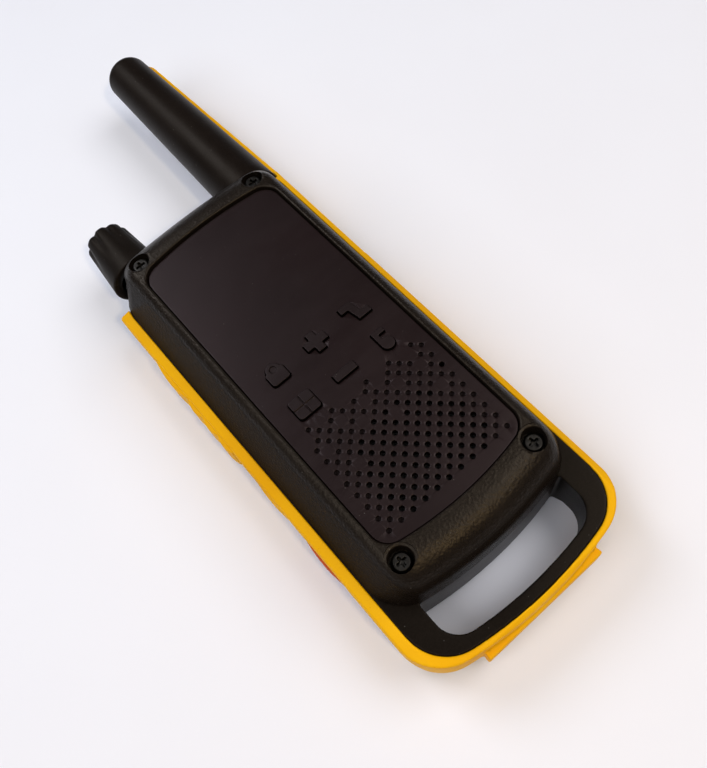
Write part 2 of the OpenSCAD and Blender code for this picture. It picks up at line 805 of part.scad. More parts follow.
module microphone() {
  color(STEEL) place() translate([mic_x, mic_y, floor_z - 4.1]) difference() {
    cylinder(r = 2, h = 2.4);
    translate([0, 0, 2]) cylinder(r = 0.5, h = 1);
  }
}

// ---- side keys ----
// Plate cut to the outline given as children, with flange and stems
module side_key(key, proud) {
  row = side_keys[key];
  y0 = row[0];
  z0 = row[2];
  z1 = row[3];
  length = row[1] - y0;
  lip = 0.7;
  intersection() {
    box([left_x - proud, y0, z0], [band_left + proud - 0.95, length, z1 - z0]);
    along_y(-40, 130) round_rect(left_x - proud, 10, z0, z1, 2, 0, 0, 2);
    translate([0, 0, -5]) linear_extrude(40) children();
  }
  box([-half_w - 1.4, y0 - lip, z0 - lip], [0.5, length + 2 * lip, z1 - z0 + 2 * lip]);
  for (y = row[6]) rightward([-half_w - 1, y, row[7]]) cylinder(d = 3, h = 1.35);
}
// Long upper pad and three finger ribs
module ptt_button() {
  color(YELLOW) place() side_key(PTT, 0.85) union() {
    translate([left_x - 0.05, 40]) square([30, 50]);
    intersection() {
      translate([-40, 66.4]) square([40, 20]);
      translate([left_x + 28.2, 73.4]) circle(29.05, $fn = 180);
    }
    for (y = [50.7, 56.9, 63.1]) translate([left_x + 6.7, y]) circle(7.5, $fn = 90);
  }
}
module torch_button() {
  color(YELLOW) place() side_key(TORCH, 0.4)
    translate([left_x + 31.6, 33.75]) circle(32, $fn = 180);
}
module alert_button() {
  color(ORANGE) place() side_key(ALERT, 0.5)
    translate([left_x + 31.5, 15]) circle(32, $fn = 180);
}
module side_board() {
  color(BOARD) place() box([-half_w + 2.7, 10, 5], [0.8, 68, 10]);
}
// One switch behind the last stem of each side key
module side_switches() {
  inner_x = -half_w + wall;
  color([0.5, 0.5, 0.5]) place() for (row = side_keys) {
    y = row[6][len(row[6]) - 1];
    z = row[7];
    box([inner_x + 0.25, y - 2, z - 1.5], [0.9, 4, 3]);
    rightward([inner_x - 0.25, y, z]) cylinder(d = 1.6, h = 0.7);
  }
}

// ---- lamp in the top wall ----
module torch_lens() {
  color([0.85, 0.9, 0.95, 0.5]) place() upward([0, y_top, lamp_z]) {
    translate([0, 0, -3.4]) cylinder(r = 5, h = 0.9);
    translate([0, 0, -2.6]) cylinder(r = 4, h = 3.2);
    // domed front
    intersection() {
      translate([0, 0, -7.4]) sphere(r = 9.2);
      cylinder(r = 4, h = 5);
    }
  }
}
module torch_led() {
  color([0.95, 0.93, 0.7]) place() upward([0, y_top - 6.4, lamp_z]) {
    box([-3, -3.3, -1], [6, 6.6, 1]);
    cylinder(r = 1.8, h = 1);
    translate([0, 0, 1]) intersection() {
      sphere(r = 1.8);
      cylinder(r = 3, h = 3);
    }
  }
}

// ---- battery ----
// Three cells with their caps; the middle one is turned round
module battery_cells() {
  color([0.2, 0.35, 0.5]) place() for (i = [-1:1])
    translate([i * cell_pitch, i == 0 ? 57.0 : 6.9, cell_z]) rotate([i == 0 ? 90 : -90, 0, 0]) {
      cylinder(r = 7.2, h = 48.9);
      cylinder(r = 2.7, h = 50.1);
    }
}
// Contact plates: left edge, width, Y
contact_plates = [
  [-20.5, 12.3, 59.5], [-5.9, 12, 59.5], [9, 11.5, 59.5],
  [-20.5, 12, 4.65], [-5.8, 11.6, 4.65], [8.5, 12, 4.65]
];
module battery_contacts() {
  color(STEEL) place() {
    for (plate = contact_plates) box([plate[0], plate[2], 4], [plate[1], 0.35, 10]);
    // cones that press on the flat ends of the cells
    for (x = [-cell_pitch, cell_pitch]) upward([x, 5.0, cell_z]) cylinder(r1 = 4, r2 = 2.4, h = 1.7);
    translate([0, 59.5, cell_z]) rotate([90, 0, 0]) cylinder(r1 = 4, r2 = 2.4, h = 1.7);
  }
}
module battery_door() {
  color(BLACK) place() difference() {
    union() {
      linear_extrude(0.95) door2d(0, 1);
      box([-21.8, -2.8, 0.8], [43.6, 62.4, 0.85]);
    }
    // grip grooves
    for (i = [0:5]) box([-9, 6 + i * 2.4, -0.2], [18, 1.1, 0.75]);
    // opening of the latch
    box([-5.2, -5, -1], [10.4, 8.3, 5]);
  }
}
module door_seal() {
  color(RUBBER) place() translate([0, 0, 0.97]) linear_extrude(0.53) door_ring2d(0.3, 0.9);
}
// Drawn unlocked; it slides 2 towards the loop to lock
module door_latch() {
  color(DARK) place() {
    difference() {
      union() {
        box([-5, -2.2, 0.2], [10, 5.3, 0.75]);
        box([-5, -0.8, 0.9], [10, 3.9, 0.8]);
      }
      // grip grooves
      for (i = [0:2]) box([-6, -1.2 + i * 1.4, -0.2], [12, 0.6, 0.75]);
    }
    // tongue, and the step that carries it
    box([-6.6, -2.9, 2.1], [13.2, 4.9, 0.95]);
    box([-4.4, -0.6, 1.6], [8.8, 2.6, 0.6]);
  }
}

// ---- ports in the right side ----
module port_board() {
  color(BOARD) place() box([17, 66.5, 7.2], [7.8, 23, 1.0]);
}
module usb_socket() {
  color(STEEL) place() difference() {
    box([19.2, 80, 8.25], [6.6, 7.4, 3.4]);
    box([20.2, 80.4, 8.9], [8, 6.6, 2.2]);
  }
}
module headset_socket() {
  color(DARK) place() difference() {
    union() {
      box([17.6, 67.8, 8.25], [7.2, 6, 4.95]);
      rightward([24, 70.8, 10.7]) cylinder(d = 4.9, h = 2.4);
    }
    rightward([18.6, 70.8, 10.7]) cylinder(d = 2.6, h = 10);
  }
}
module port_cover() {
  color(BLACK) place() difference() {
    intersection() {
      box([half_w + 0.15, 67.1, 6.2], [band_right - 0.35, 22.8, 9.6]);
      along_y(40, 120) round_rect(0, right_x - 0.2, 6.2, 15.8, 0, 1.0, 1.0, 0);
      translate([-0.2, 0, 0]) linear_extrude(30) band2d();
    }
    // finger nick at the lower end
    box([right_x - 0.9, 66, 8.5], [3, 2.4, 5]);
  }
}

// ---- wires ----
// Pair of wires at -x and x, drawn by their outline in Y and Z
module wire_pair(x, points, width = 0.8) {
  color(WIRE) place() for (side = [-1, 1])
    along_x(side * x - width / 2, side * x + width / 2) polygon(points);
}
module speaker_leads() {
  wire_pair(3, [[30.0, 20.3], [31.8, 21.4], [34.2, 21.4], [34.2, 20.15], [33.4, 20.15],
                [33.4, 20.7], [32.1, 20.7], [30.3, 19.6]]);
}
module battery_leads() {
  wire_pair(1, [[60.2, 13.2], [63.8, 13.2], [63.8, 18.85], [63.0, 18.85], [63.0, 14.0],
                [60.2, 14.0]]);
}

front_shell();
front_panel();
rear_shell();
bumper_band();
antenna_cover();
antenna_coil();
antenna_core();
antenna_feed();
volume_knob();
volume_shaft();
volume_control();
bushing_nut();
housing_screws();
body_seal();
main_board();
rf_shield();
board_screws();
display_frame();
display_glass();
keypad_mat();
key_plus();
key_minus();
key_lock();
key_menu();
key_call();
key_scan();
speaker_frame();
speaker_magnet();
speaker_cone();
speaker_mesh();
microphone();
ptt_button();
torch_button();
alert_button();
side_board();
side_switches();
torch_lens();
torch_led();
battery_cells();
battery_contacts();
battery_door();
door_latch();
door_seal();
port_board();
usb_socket();
headset_socket();
port_cover();
speaker_leads();
battery_leads();
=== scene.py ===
# A handheld two-way radio lying on its back on a white floor. x runs across the radio, y along it
# towards the antenna, and z rises from the floor to the radio's face. The front housing, face panel,
# antenna sleeve and knob are modelled here; the other parts are the frame's own, with softened edges.
import bpy, bmesh, json, math
import numpy as np
from mathutils import Matrix, Vector
from mathutils.geometry import delaunay_2d_cdt


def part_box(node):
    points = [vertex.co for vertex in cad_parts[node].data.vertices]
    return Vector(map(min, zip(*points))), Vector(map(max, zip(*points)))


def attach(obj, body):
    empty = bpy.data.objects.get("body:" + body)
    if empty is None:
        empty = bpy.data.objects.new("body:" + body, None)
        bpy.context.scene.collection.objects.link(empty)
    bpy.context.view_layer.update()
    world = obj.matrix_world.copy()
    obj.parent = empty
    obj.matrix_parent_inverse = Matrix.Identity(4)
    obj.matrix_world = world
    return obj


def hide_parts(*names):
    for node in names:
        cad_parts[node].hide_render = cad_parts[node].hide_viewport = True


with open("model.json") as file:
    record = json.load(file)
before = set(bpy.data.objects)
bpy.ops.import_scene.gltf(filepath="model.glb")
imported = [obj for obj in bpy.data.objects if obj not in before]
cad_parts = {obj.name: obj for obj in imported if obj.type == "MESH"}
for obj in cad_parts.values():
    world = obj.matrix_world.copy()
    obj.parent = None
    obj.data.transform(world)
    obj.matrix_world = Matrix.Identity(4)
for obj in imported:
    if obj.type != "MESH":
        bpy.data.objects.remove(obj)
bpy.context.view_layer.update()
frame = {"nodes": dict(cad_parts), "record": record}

SCENE = bpy.context.scene
NODES = frame["nodes"]
SLOT_OF = {part["node"]: part["material_slot"] for part in frame["record"]["subparts"]}

# ---------------------------------------------------------------- measures
# Lengths are in millimetres. y is counted from the lower screw line, and Y_SHIFT brings it to
# the frame's origin.
MM = 0.001


def mm_box(node):
    low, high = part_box(node)
    return np.array(low) / MM, np.array(high) / MM


shell_low, shell_high = mm_box("front_shell")
panel_low, panel_high = mm_box("front_panel")
knob_low, knob_high = mm_box("volume_knob")

HALF_WIDTH = shell_high[0]
Y_BODY, Y_TOP = -8.85, 102.5          # ends of the front housing
Y_SHIFT = Y_TOP - shell_high[1]
Z_RIM = shell_high[2]
Z_JOINT = shell_low[2]                # where the housing meets the rear shell
SIDE_LEAN = math.tan(math.radians(20))

Z_PANEL = panel_high[2]
Z_PANEL_BACK = panel_low[2]
Z_RECESS = Z_PANEL - 1.6              # floor of the recess that holds the panel
PANEL_ARCH = dict(half_width=panel_high[0], bottom=1.5, bottom_radius=85, top=93.4,
                  top_radius=100, bottom_corner=4.7, top_corner=4.7)

ANTENNA_X, ANTENNA_Z = 19.05, 15.5
ANTENNA_LENGTH = mm_box("antenna_cover")[1][1] + Y_SHIFT - Y_TOP
KNOB_X, KNOB_Z = (knob_low[0] + knob_high[0]) / 2, (knob_low[2] + knob_high[2]) / 2
KNOB_LENGTH = knob_high[1] - knob_low[1]
KNOB_Y = knob_low[1] + Y_SHIFT

MICROPHONE = (16.46, 25.44)
SPEAKER_Y = 12.8
SCREWS = [(-17.6, 96.1), (17.6, 96.1), (-18.2, 0), (18.2, 0)]
KEY_PITCH = 11.4
KEYS = [(column * KEY_PITCH, y) for y in (48.7, 38.5) for column in (-1, 0, 1)]


def to_metres(points):
    points = np.array(points, float).reshape(-1, 3).copy()
    points[:, 1] -= Y_SHIFT
    return points * MM


# ---------------------------------------------------------------- mesh helpers
def smooth_by(ob, angle):
    """Shades smooth, with edges sharper than the angle left hard."""
    ob.data.shade_smooth()
    if angle:
        ob.data.set_sharp_from_angle(angle=math.radians(angle))


def new_object(name, verts, faces, smooth=True, angle=None):
    mesh = bpy.data.meshes.new(name)
    mesh.from_pydata([tuple(v) for v in to_metres(verts)], [],
                     [tuple(int(i) for i in face) for face in faces])
    mesh.validate()
    bm = bmesh.new()
    bm.from_mesh(mesh)
    bmesh.ops.remove_doubles(bm, verts=bm.verts, dist=2e-7)
    bmesh.ops.recalc_face_normals(bm, faces=bm.faces)
    bm.to_mesh(mesh)
    bm.free()
    ob = bpy.data.objects.new(name, mesh)
    SCENE.collection.objects.link(ob)
    if smooth:
        smooth_by(ob, angle)
    return ob


def circle_angles(count):
    return np.linspace(0, math.tau, count, endpoint=False)


def around_y(x, y, z, radius, angles):
    """Circle of points about an axis along y. The radius may differ from point to point."""
    return np.c_[x + radius * np.cos(angles), np.full(len(angles), y),
                 z + radius * np.sin(angles)]


def arch_outline(half_width, bottom, bottom_radius, top, top_radius, bottom_corner, top_corner,
                 side_steps=44, top_steps=36, bottom_steps=44, corner_steps=18):
    """Anticlockwise outline, symmetric about x = 0: straight sides, an arc through (0, bottom),
    an arc through (0, top) and four corner fillets. Returns points and outward normals."""
    points, normals = [], []

    def corner(side, up, centre_y, arc_radius, fillet):
        """Centre of a corner fillet, and the point where it meets the end arc."""
        x = side * (half_width - fillet)
        y = centre_y + up * math.sqrt((arc_radius - fillet) ** 2 - x * x)
        spoke = np.array([x, y - centre_y])
        return (x, y), np.array([0, centre_y]) + spoke / np.linalg.norm(spoke) * arc_radius

    def heading(centre, point):
        return math.atan2(point[1] - centre[1], point[0] - centre[0]) % math.tau

    def arc(centre, radius, start, stop, count):
        for a in np.linspace(start, stop, count, endpoint=False):
            points.append((centre[0] + radius * math.cos(a), centre[1] + radius * math.sin(a)))
            normals.append((math.cos(a), math.sin(a)))

    def side_line(side, y_start, y_stop):
        x = side * half_width
        for t in np.linspace(0, 1, side_steps, endpoint=False):
            points.append(tuple(np.array((x, y_start)) * (1 - t) + np.array((x, y_stop)) * t))
            normals.append((side, 0))

    low_centre, high_centre = (0, bottom + bottom_radius), (0, top - top_radius)
    lower = (-1, low_centre[1], bottom_radius, bottom_corner)
    upper = (1, high_centre[1], top_radius, top_corner)
    low_right, low_right_touch = corner(1, *lower)
    low_left, low_left_touch = corner(-1, *lower)
    high_right, high_right_touch = corner(1, *upper)
    high_left, high_left_touch = corner(-1, *upper)

    side_line(1, low_right[1], high_right[1])
    arc(high_right, top_corner, 0, heading(high_right, high_right_touch), corner_steps)
    arc(high_centre, top_radius, heading(high_centre, high_right_touch),
        heading(high_centre, high_left_touch), top_steps)
    arc(high_left, top_corner, heading(high_left, high_left_touch), math.pi, corner_steps)
    side_line(-1, high_left[1], low_left[1])
    arc(low_left, bottom_corner, math.pi, heading(low_left, low_left_touch), corner_steps)
    arc(low_centre, bottom_radius, heading(low_centre, low_left_touch),
        heading(low_centre, low_right_touch), bottom_steps)
    arc(low_right, bottom_corner, heading(low_right, low_right_touch), math.tau, corner_steps)
    return np.array(points), np.array(normals)


def inside_polygon(polygon, x, y):
    ahead = np.roll(polygon, -1, 0)
    crosses = (polygon[:, 1] > y) != (ahead[:, 1] > y)
    slope_x = (ahead[:, 0] - polygon[:, 0]) * (y - polygon[:, 1])
    at_x = slope_x / (ahead[:, 1] - polygon[:, 1] + 1e-30) + polygon[:, 0]
    return np.sum(crosses & (x < at_x)) % 2 == 1


class Build:
    """Collects the rings and faces of one mesh."""

    def __init__(self):
        self.verts, self.faces = [], []

    def ring(self, points):
        first = len(self.verts)
        self.verts += [tuple(p) for p in points]
        return np.arange(first, first + len(points))

    def ring_at(self, xy, z):
        """Ring over an xy outline; z is one height, or one for each point."""
        return self.ring(np.c_[xy, np.broadcast_to(z, (len(xy),))])

    def join(self, a, b):
        count = len(a)
        for i in range(count):
            j = (i + 1) % count
            self.faces.append((a[i], a[j], b[j], b[i]))

    def chain(self, rings):
        for a, b in zip(rings, rings[1:]):
            self.join(a, b)

    def fan(self, ring, centre):
        tip = len(self.verts)
        self.verts.append(tuple(centre))
        count = len(ring)
        for i in range(count):
            self.faces.append((ring[i], ring[(i + 1) % count], tip))

    def cap(self, loops):
        """Fills the plane between an outer loop and its holes."""
        points, edges, ids, polygons = [], [], [], []
        for loop in loops:
            first, count = len(points), len(loop)
            outline = [(self.verts[i][0], self.verts[i][1]) for i in loop]
            polygons.append(np.array(outline))
            points += outline
            ids += list(loop)
            edges += [(first + i, first + (i + 1) % count) for i in range(count)]
        spots, _, tris, origins = delaunay_2d_cdt(
            [Vector(p) for p in points], edges, [], 1, 1e-6)[:4]
        back = [ids[origin[0]] if origin else None for origin in origins]
        tris = np.array([t for t in tris if all(back[i] is not None for i in t)])
        middles = np.array([[(spots[t[0]][k] + spots[t[1]][k] + spots[t[2]][k]) / 3
                             for k in (0, 1)] for t in tris])
        # a triangle is kept where an odd number of loops surround it
        keep = np.zeros(len(tris), bool)
        for polygon in polygons:
            low, high = polygon.min(0), polygon.max(0)
            near = np.where(np.all((middles >= low) & (middles <= high), axis=1))[0]
            for t in near:
                if inside_polygon(polygon, *middles[t]):
                    keep[t] = ~keep[t]
        self.faces += [tuple(back[i] for i in t) for t in tris[keep]]


def add_modifier(ob, name, kind, **settings):
    modifier = ob.modifiers.new(name, kind)
    for key, value in settings.items():
        setattr(modifier, key, value)


def weight_normals(ob):
    add_modifier(ob, "weighted", "WEIGHTED_NORMAL", mode="FACE_AREA_WITH_ANGLE", weight=80,
                 keep_sharp=True)


# ---------------------------------------------------------------- cutters
def lathe_cutter(profile, centre, axis="z", segments=96):
    """Body of revolution. Profile rows are (radius, height), starting and ending on the axis."""
    x, y, z = centre
    angles = circle_angles(segments)
    build = Build()

    def placed(radius, height):
        if axis == "y":
            return around_y(x, y + height, z, radius, angles)
        return np.c_[x + radius * np.cos(angles), y + radius * np.sin(angles),
                     np.full(segments, z + height)]

    start, *rows, end = profile
    last = None
    for row in rows:
        ring = build.ring(placed(*row))
        if last is None:
            build.fan(ring, placed(*start)[0])
        else:
            build.join(last, ring)
        last = ring
    build.fan(last, placed(*end)[0])
    return new_object("cutter", build.verts, build.faces, angle=35)


def drill(centre, radius, low, high, segments, axis="z"):
    profile = [(0, low), (radius, low), (radius, high), (0, high)]
    return lathe_cutter(profile, centre, axis, segments)


def box_cutter(low, high):
    x0, y0, z0 = low
    x1, y1, z1 = high
    verts = [(x, y, z) for z in (z0, z1) for y in (y0, y1) for x in (x0, x1)]
    faces = [(0, 1, 3, 2), (4, 5, 7, 6), (0, 1, 5, 4), (2, 3, 7, 6), (0, 2, 6, 4), (1, 3, 7, 5)]
    return new_object("cutter", verts, faces, smooth=False)


def cut_away(target, cutters):
    """Takes the cutters out of the target's mesh, then removes them."""
    bpy.context.view_layer.update()
    for cutter in cutters:
        add_modifier(target, "b", "BOOLEAN", operation="DIFFERENCE", solver="EXACT",
                     object=cutter)
    depsgraph = bpy.context.evaluated_depsgraph_get()
    mesh = bpy.data.meshes.new_from_object(target.evaluated_get(depsgraph))
    target.modifiers.clear()
    old = target.data
    target.data = mesh
    bpy.data.meshes.remove(old)
    for cutter in cutters:
        data = cutter.data
        bpy.data.objects.remove(cutter)
        bpy.data.meshes.remove(data)


# ---------------------------------------------------------------- material helper
class Material:
    """One procedural material in object space. Sizes and bump heights are in millimetres."""

    def __init__(self, name):
        self.material = bpy.data.materials.new(name)
        self.material.use_nodes = True
        self.tree = self.material.node_tree
        self.tree.nodes.clear()
        self.output = self.node("OutputMaterial")
        self.surface = self.node("BsdfPrincipled")
        self.feed(self.output.inputs[0], self.surface.outputs[0])
        coords = self.node("TexCoord")
        scaled = self.node("VectorMath", operation="SCALE")
        scaled.inputs["Scale"].default_value = 1000.0     # metres to millimetres
        self.feed(scaled.inputs[0], coords.outputs["Object"])
        self.point = scaled.outputs[0]

    def node(self, kind, **settings):
        node = self.tree.nodes.new("ShaderNode" + kind)
        for key, value in settings.items():
            setattr(node, key, value)
        return node

    def feed(self, socket, value):
        """Gives an input a link, a colour or a number."""
        if isinstance(value, bpy.types.NodeSocket):
            self.tree.links.new(value, socket)
        elif isinstance(value, tuple):
            socket.default_value = (*value, 1.0)
        else:
            socket.default_value = value

    def noise(self, size, detail=3.0, rough=0.5, stretch=None, warp=0.0):
        """Noise whose features are about size wide."""
        source = self.point
        if stretch:
            stretched = self.node("VectorMath", operation="MULTIPLY")
            stretched.inputs[1].default_value = stretch
            self.feed(stretched.inputs[0], source)
            source = stretched.outputs[0]
        node = self.node("TexNoise")
        for key, value in (("Scale", 1.0 / size), ("Detail", detail), ("Roughness", rough),
                           ("Distortion", warp), ("Vector", source)):
            self.feed(node.inputs[key], value)
        return node.outputs["Fac"]

    def cells(self, size, feature="F1", random=1.0):
        node = self.node("TexVoronoi", feature=feature)
        node.inputs["Scale"].default_value = 1.0 / size
        node.inputs["Randomness"].default_value = random
        self.feed(node.inputs["Vector"], self.point)
        return node.outputs["Distance"]

    def remap(self, value, span=(0.3, 0.7), to=(0, 1), smooth=False):
        """Maps a span of values to another. The default span is the usual spread of a noise."""
        node = self.node("MapRange")
        node.interpolation_type = "SMOOTHSTEP" if smooth else "LINEAR"
        for i, source in enumerate((value, *span, *to)):
            self.feed(node.inputs[i], source)
        return node.outputs[0]

    def specks(self, size, edge, peak):
        """Small dots about size apart, fading from peak to 0 across the edge distances."""
        return self.remap(self.cells(size), span=edge, to=(peak, 0))

    def math(self, operation, *values):
        node = self.node("Math", operation=operation)
        for i, value in enumerate(values):
            self.feed(node.inputs[i], value)
        return node.outputs[0]

    def mix(self, factor, a, b):
        """Colour a where the factor is 0, colour b where it is 1."""
        node = self.node("Mix", data_type="RGBA")
        for i, value in ((0, factor), (6, a), (7, b)):
            self.feed(node.inputs[i], value)
        return node.outputs[2]

    def bump(self, height, depth, normal=None):
        node = self.node("Bump")
        node.inputs["Strength"].default_value = 1.0
        node.inputs["Distance"].default_value = depth * MM
        self.feed(node.inputs["Height"], height)
        if normal is not None:
            self.feed(node.inputs["Normal"], normal)
        return node.outputs[0]

    def split(self, vector):
        """x, y and z of a vector."""
        node = self.node("SeparateXYZ")
        self.feed(node.inputs[0], vector)
        return node.outputs

    def geometry(self, output):
        return self.node("NewGeometry").outputs[output]

    def finish(self, **inputs):
        """Feeds the surface shader and returns the material."""
        for key, value in inputs.items():
            self.feed(self.surface.inputs[key.replace("_", " ")], value)
        return self.material


def brighter(color, factor):
    return tuple(c * factor for c in color)


# ---------------------------------------------------------------- kinds of material
# In all of them rough is the (low, high) range of roughness, and depth the height of the relief.
def spark_plastic(name, dark, light, rough, grain, depth, shine=0.09, wear=0.35,
                  wall_shine=None):
    """Moulded black plastic with a spark-eroded grain, worn smooth and paler on proud edges."""
    mat = Material(name)
    big = mat.noise(size=16, detail=4)
    mid = mat.noise(size=2.6, detail=4, rough=0.6)
    pits = mat.cells(size=grain, feature="SMOOTH_F1")
    fine = mat.noise(size=grain * 0.45, rough=0.65)
    relief = mat.math("ADD", mat.math("MULTIPLY", pits, 0.75), mat.math("MULTIPLY", fine, 0.5))
    edge = mat.remap(mat.geometry("Pointiness"), span=(0.54, 0.62), smooth=True)
    edge = mat.math("MULTIPLY", edge, mat.remap(mid, span=(0.35, 0.65), to=(0.15, wear)))
    color = mat.mix(mat.remap(big), dark, light)
    in_pits = mat.math("MULTIPLY", mat.remap(pits, span=(0.1, 0.6), to=(0.35, 0)), 1.0)
    color = mat.mix(in_pits, color, brighter(light, 1.8))
    dust = mat.specks(size=2.3, edge=(0.035, 0.06), peak=0.4)
    color = mat.mix(dust, color, (0.16, 0.15, 0.14))
    color = mat.mix(edge, color, (0.030, 0.027, 0.023))
    roughness = mat.remap(big, span=(0.25, 0.75), to=rough)
    roughness = mat.math("ADD", roughness, mat.remap(fine, to=(-0.05, 0.06)))
    roughness = mat.math("SUBTRACT", roughness, mat.math("MULTIPLY", edge, 0.10))
    normal = mat.bump(relief, depth=depth)
    normal = mat.bump(mid, depth=0.02, normal=normal)
    if wall_shine is not None:
        # upright walls are matter than the rounded top, which hands polish
        up = mat.split(mat.geometry("True Normal"))[2]
        shine = mat.remap(up, span=(0.40, 0.80), to=(wall_shine, shine), smooth=True)
    return mat.finish(Base_Color=color, Roughness=roughness, Normal=normal,
                      Specular_IOR_Level=shine, Specular_Tint=(1.0, 0.84, 0.66))


def satin_plastic(name, dark, light, rough, dusty, top=None):
    """Smooth satin plastic: very fine texture, faint smears, dust and hairline scratches."""
    mat = Material(name)
    big = mat.noise(size=24)
    smear = mat.noise(size=7, detail=4, rough=0.6, stretch=(0.35, 1.0, 1.0), warp=0.6)
    fine = mat.noise(size=0.12, detail=2, rough=0.6)
    hair = mat.noise(size=0.5, detail=2, stretch=(0.05, 1.6, 1.0))
    color = mat.mix(mat.remap(big), dark, light)
    coarse_dust = mat.specks(size=1.9, edge=(0.028, 0.05), peak=dusty)
    fine_dust = mat.specks(size=0.83, edge=(0.030, 0.055), peak=dusty * 0.5)
    patches = mat.remap(mat.noise(size=9, detail=2), span=(0.45, 0.62))
    dust = mat.math("MULTIPLY", mat.math("MAXIMUM", coarse_dust, fine_dust), patches)
    color = mat.mix(dust, color, (0.24, 0.23, 0.21))
    roughness = mat.remap(smear, to=rough)
    scratches = mat.remap(hair, span=(0.60, 0.72), to=(0.0, 0.10))
    roughness = mat.math("ADD", roughness, scratches)
    roughness = mat.math("ADD", roughness, mat.math("MULTIPLY", dust, 0.4))
    # painted shade: the flanks, and below the top face if its height is given (walls of holes,
    # dimples and openings), are mixed towards near black; the same mask dulls the shine there
    up = mat.split(mat.geometry("True Normal"))[2]
    flank_shade = mat.remap(up, span=(0.25, 0.93), to=(1, 0))
    if top:
        z = mat.split(mat.point)[2]
        flank_shade = mat.math("MAXIMUM", flank_shade,
                         mat.remap(z, span=(top - 0.40, top - 0.08), to=(1, 0)))
    # painted shade: colour pulled towards near black on flanks and in recesses
    color = mat.mix(mat.math("MULTIPLY", flank_shade, 0.8), color, (0.0016, 0.0012, 0.0011))
    normal = mat.bump(fine, depth=0.004)
    normal = mat.bump(hair, depth=0.002, normal=normal)
    shine = mat.remap(flank_shade, span=(0, 1), to=(0.26, 0.04))
    return mat.finish(Base_Color=color, Roughness=roughness, Normal=normal,
                      Specular_IOR_Level=shine, Specular_Tint=(1.0, 0.80, 0.80))


def soft_rubber(name, main, deep, pale, dirt):
    """Soft-touch elastomer: fine matt texture, shine on proud edges, darker in hollows."""
    mat = Material(name)
    big = mat.noise(size=22, detail=4, rough=0.55)
    mid = mat.noise(size=3.0, detail=5, rough=0.6)
    fine = mat.noise(size=0.22, rough=0.6)
    pits = mat.cells(size=0.5, feature="SMOOTH_F1")
    pointiness = mat.geometry("Pointiness")
    hollow = mat.remap(pointiness, span=(0.485, 0.44), smooth=True)
    proud = mat.remap(pointiness, span=(0.52, 0.58), smooth=True)
    color = mat.mix(mat.remap(big), main, deep)
    rubbed = mat.remap(mid, span=(0.35, 0.65), to=(0.1, 0.45))
    color = mat.mix(mat.math("MULTIPLY", proud, rubbed), color, pale)
    hollow_darkening = mat.remap(mid, span=(0.3, 0.6), to=(0.25, 0.75))
    # darker towards a deep tone in hollows, found from pointiness; the same tone colours the specks
    color = mat.mix(mat.math("MULTIPLY", hollow, hollow_darkening), color, dirt)
    color = mat.mix(mat.specks(size=3.1, edge=(0.02, 0.05), peak=0.35), color, dirt)
    roughness = mat.math("ADD", mat.remap(big, to=(0.44, 0.60)),
                         mat.remap(fine, to=(-0.05, 0.05)))
    roughness = mat.math("SUBTRACT", roughness, mat.math("MULTIPLY", proud, 0.07))
    normal = mat.bump(fine, depth=0.010)
    normal = mat.bump(pits, depth=0.007, normal=normal)
    normal = mat.bump(mid, depth=0.02, normal=normal)
    return mat.finish(Base_Color=color, Roughness=roughness, Normal=normal,
                      Specular_IOR_Level=0.06)


def metal(name, dark, light, rough=(0.22, 0.42), tarnish=(0.2, 0.17, 0.13), tarnished=0.35):
    """Brushed metal with spots of tarnish."""
    mat = Material(name)
    big = mat.noise(size=5, detail=4)
    brush = mat.noise(size=1.0, detail=4, rough=0.6, stretch=(1, 12, 12))
    spots = mat.remap(mat.noise(size=1.1, detail=5, rough=0.65), span=(0.52, 0.68),
                      to=(0, tarnished))
    color = mat.mix(mat.remap(big), dark, light)
    color = mat.mix(spots, color, tarnish)
    roughness = mat.math("ADD", mat.remap(brush, to=rough), mat.math("MULTIPLY", spots, 0.3))
    return mat.finish(Base_Color=color, Roughness=roughness,
                      Normal=mat.bump(brush, depth=0.006), Metallic=1.0)


def board(name):
    """Solder mask with copper tracks and small pads under it."""
    mat = Material(name)
    to_edge = mat.cells(size=2.2, feature="DISTANCE_TO_EDGE", random=0.25)
    track = mat.remap(to_edge, span=(0.03, 0.07), to=(1, 0))
    pads = mat.remap(mat.cells(size=1.6, random=0.1), span=(0.10, 0.13), to=(1, 0))
    patches = mat.remap(mat.noise(size=6, detail=2), span=(0.48, 0.55))
    pads = mat.math("MULTIPLY", pads, patches)
    color = mat.mix(mat.remap(mat.noise(size=9)), (0.010, 0.095, 0.035), (0.014, 0.13, 0.05))
    color = mat.mix(mat.math("MULTIPLY", track, 0.5), color, (0.05, 0.24, 0.08))
    color = mat.mix(pads, color, (0.62, 0.58, 0.42))
    normal = mat.bump(track, depth=0.03)
    normal = mat.bump(mat.noise(size=0.2, detail=2), depth=0.004, normal=normal)
    return mat.finish(Base_Color=color, Normal=normal,
                      Roughness=mat.remap(mat.noise(size=3), to=(0.25, 0.42)),
                      Metallic=mat.math("MULTIPLY", pads, 0.9))


def moulded(name, dark, light, speck, rough=(0.38, 0.52), fine_size=0.3, depth=0.008,
            **surface):
    """Plain technical plastic, rubber or wire insulation."""
    mat = Material(name)
    big = mat.noise(size=6, detail=4, rough=0.55)
    fine = mat.noise(size=fine_size, rough=0.6)
    color = mat.mix(mat.remap(big), dark, light)
    color = mat.mix(mat.specks(size=1.7, edge=(0.03, 0.06), peak=0.3), color, speck)
    roughness = mat.math("ADD", mat.remap(big, to=rough), mat.remap(fine, to=(-0.04, 0.04)))
    return mat.finish(Base_Color=color, Roughness=roughness,
                      Normal=mat.bump(fine, depth=depth), **surface)


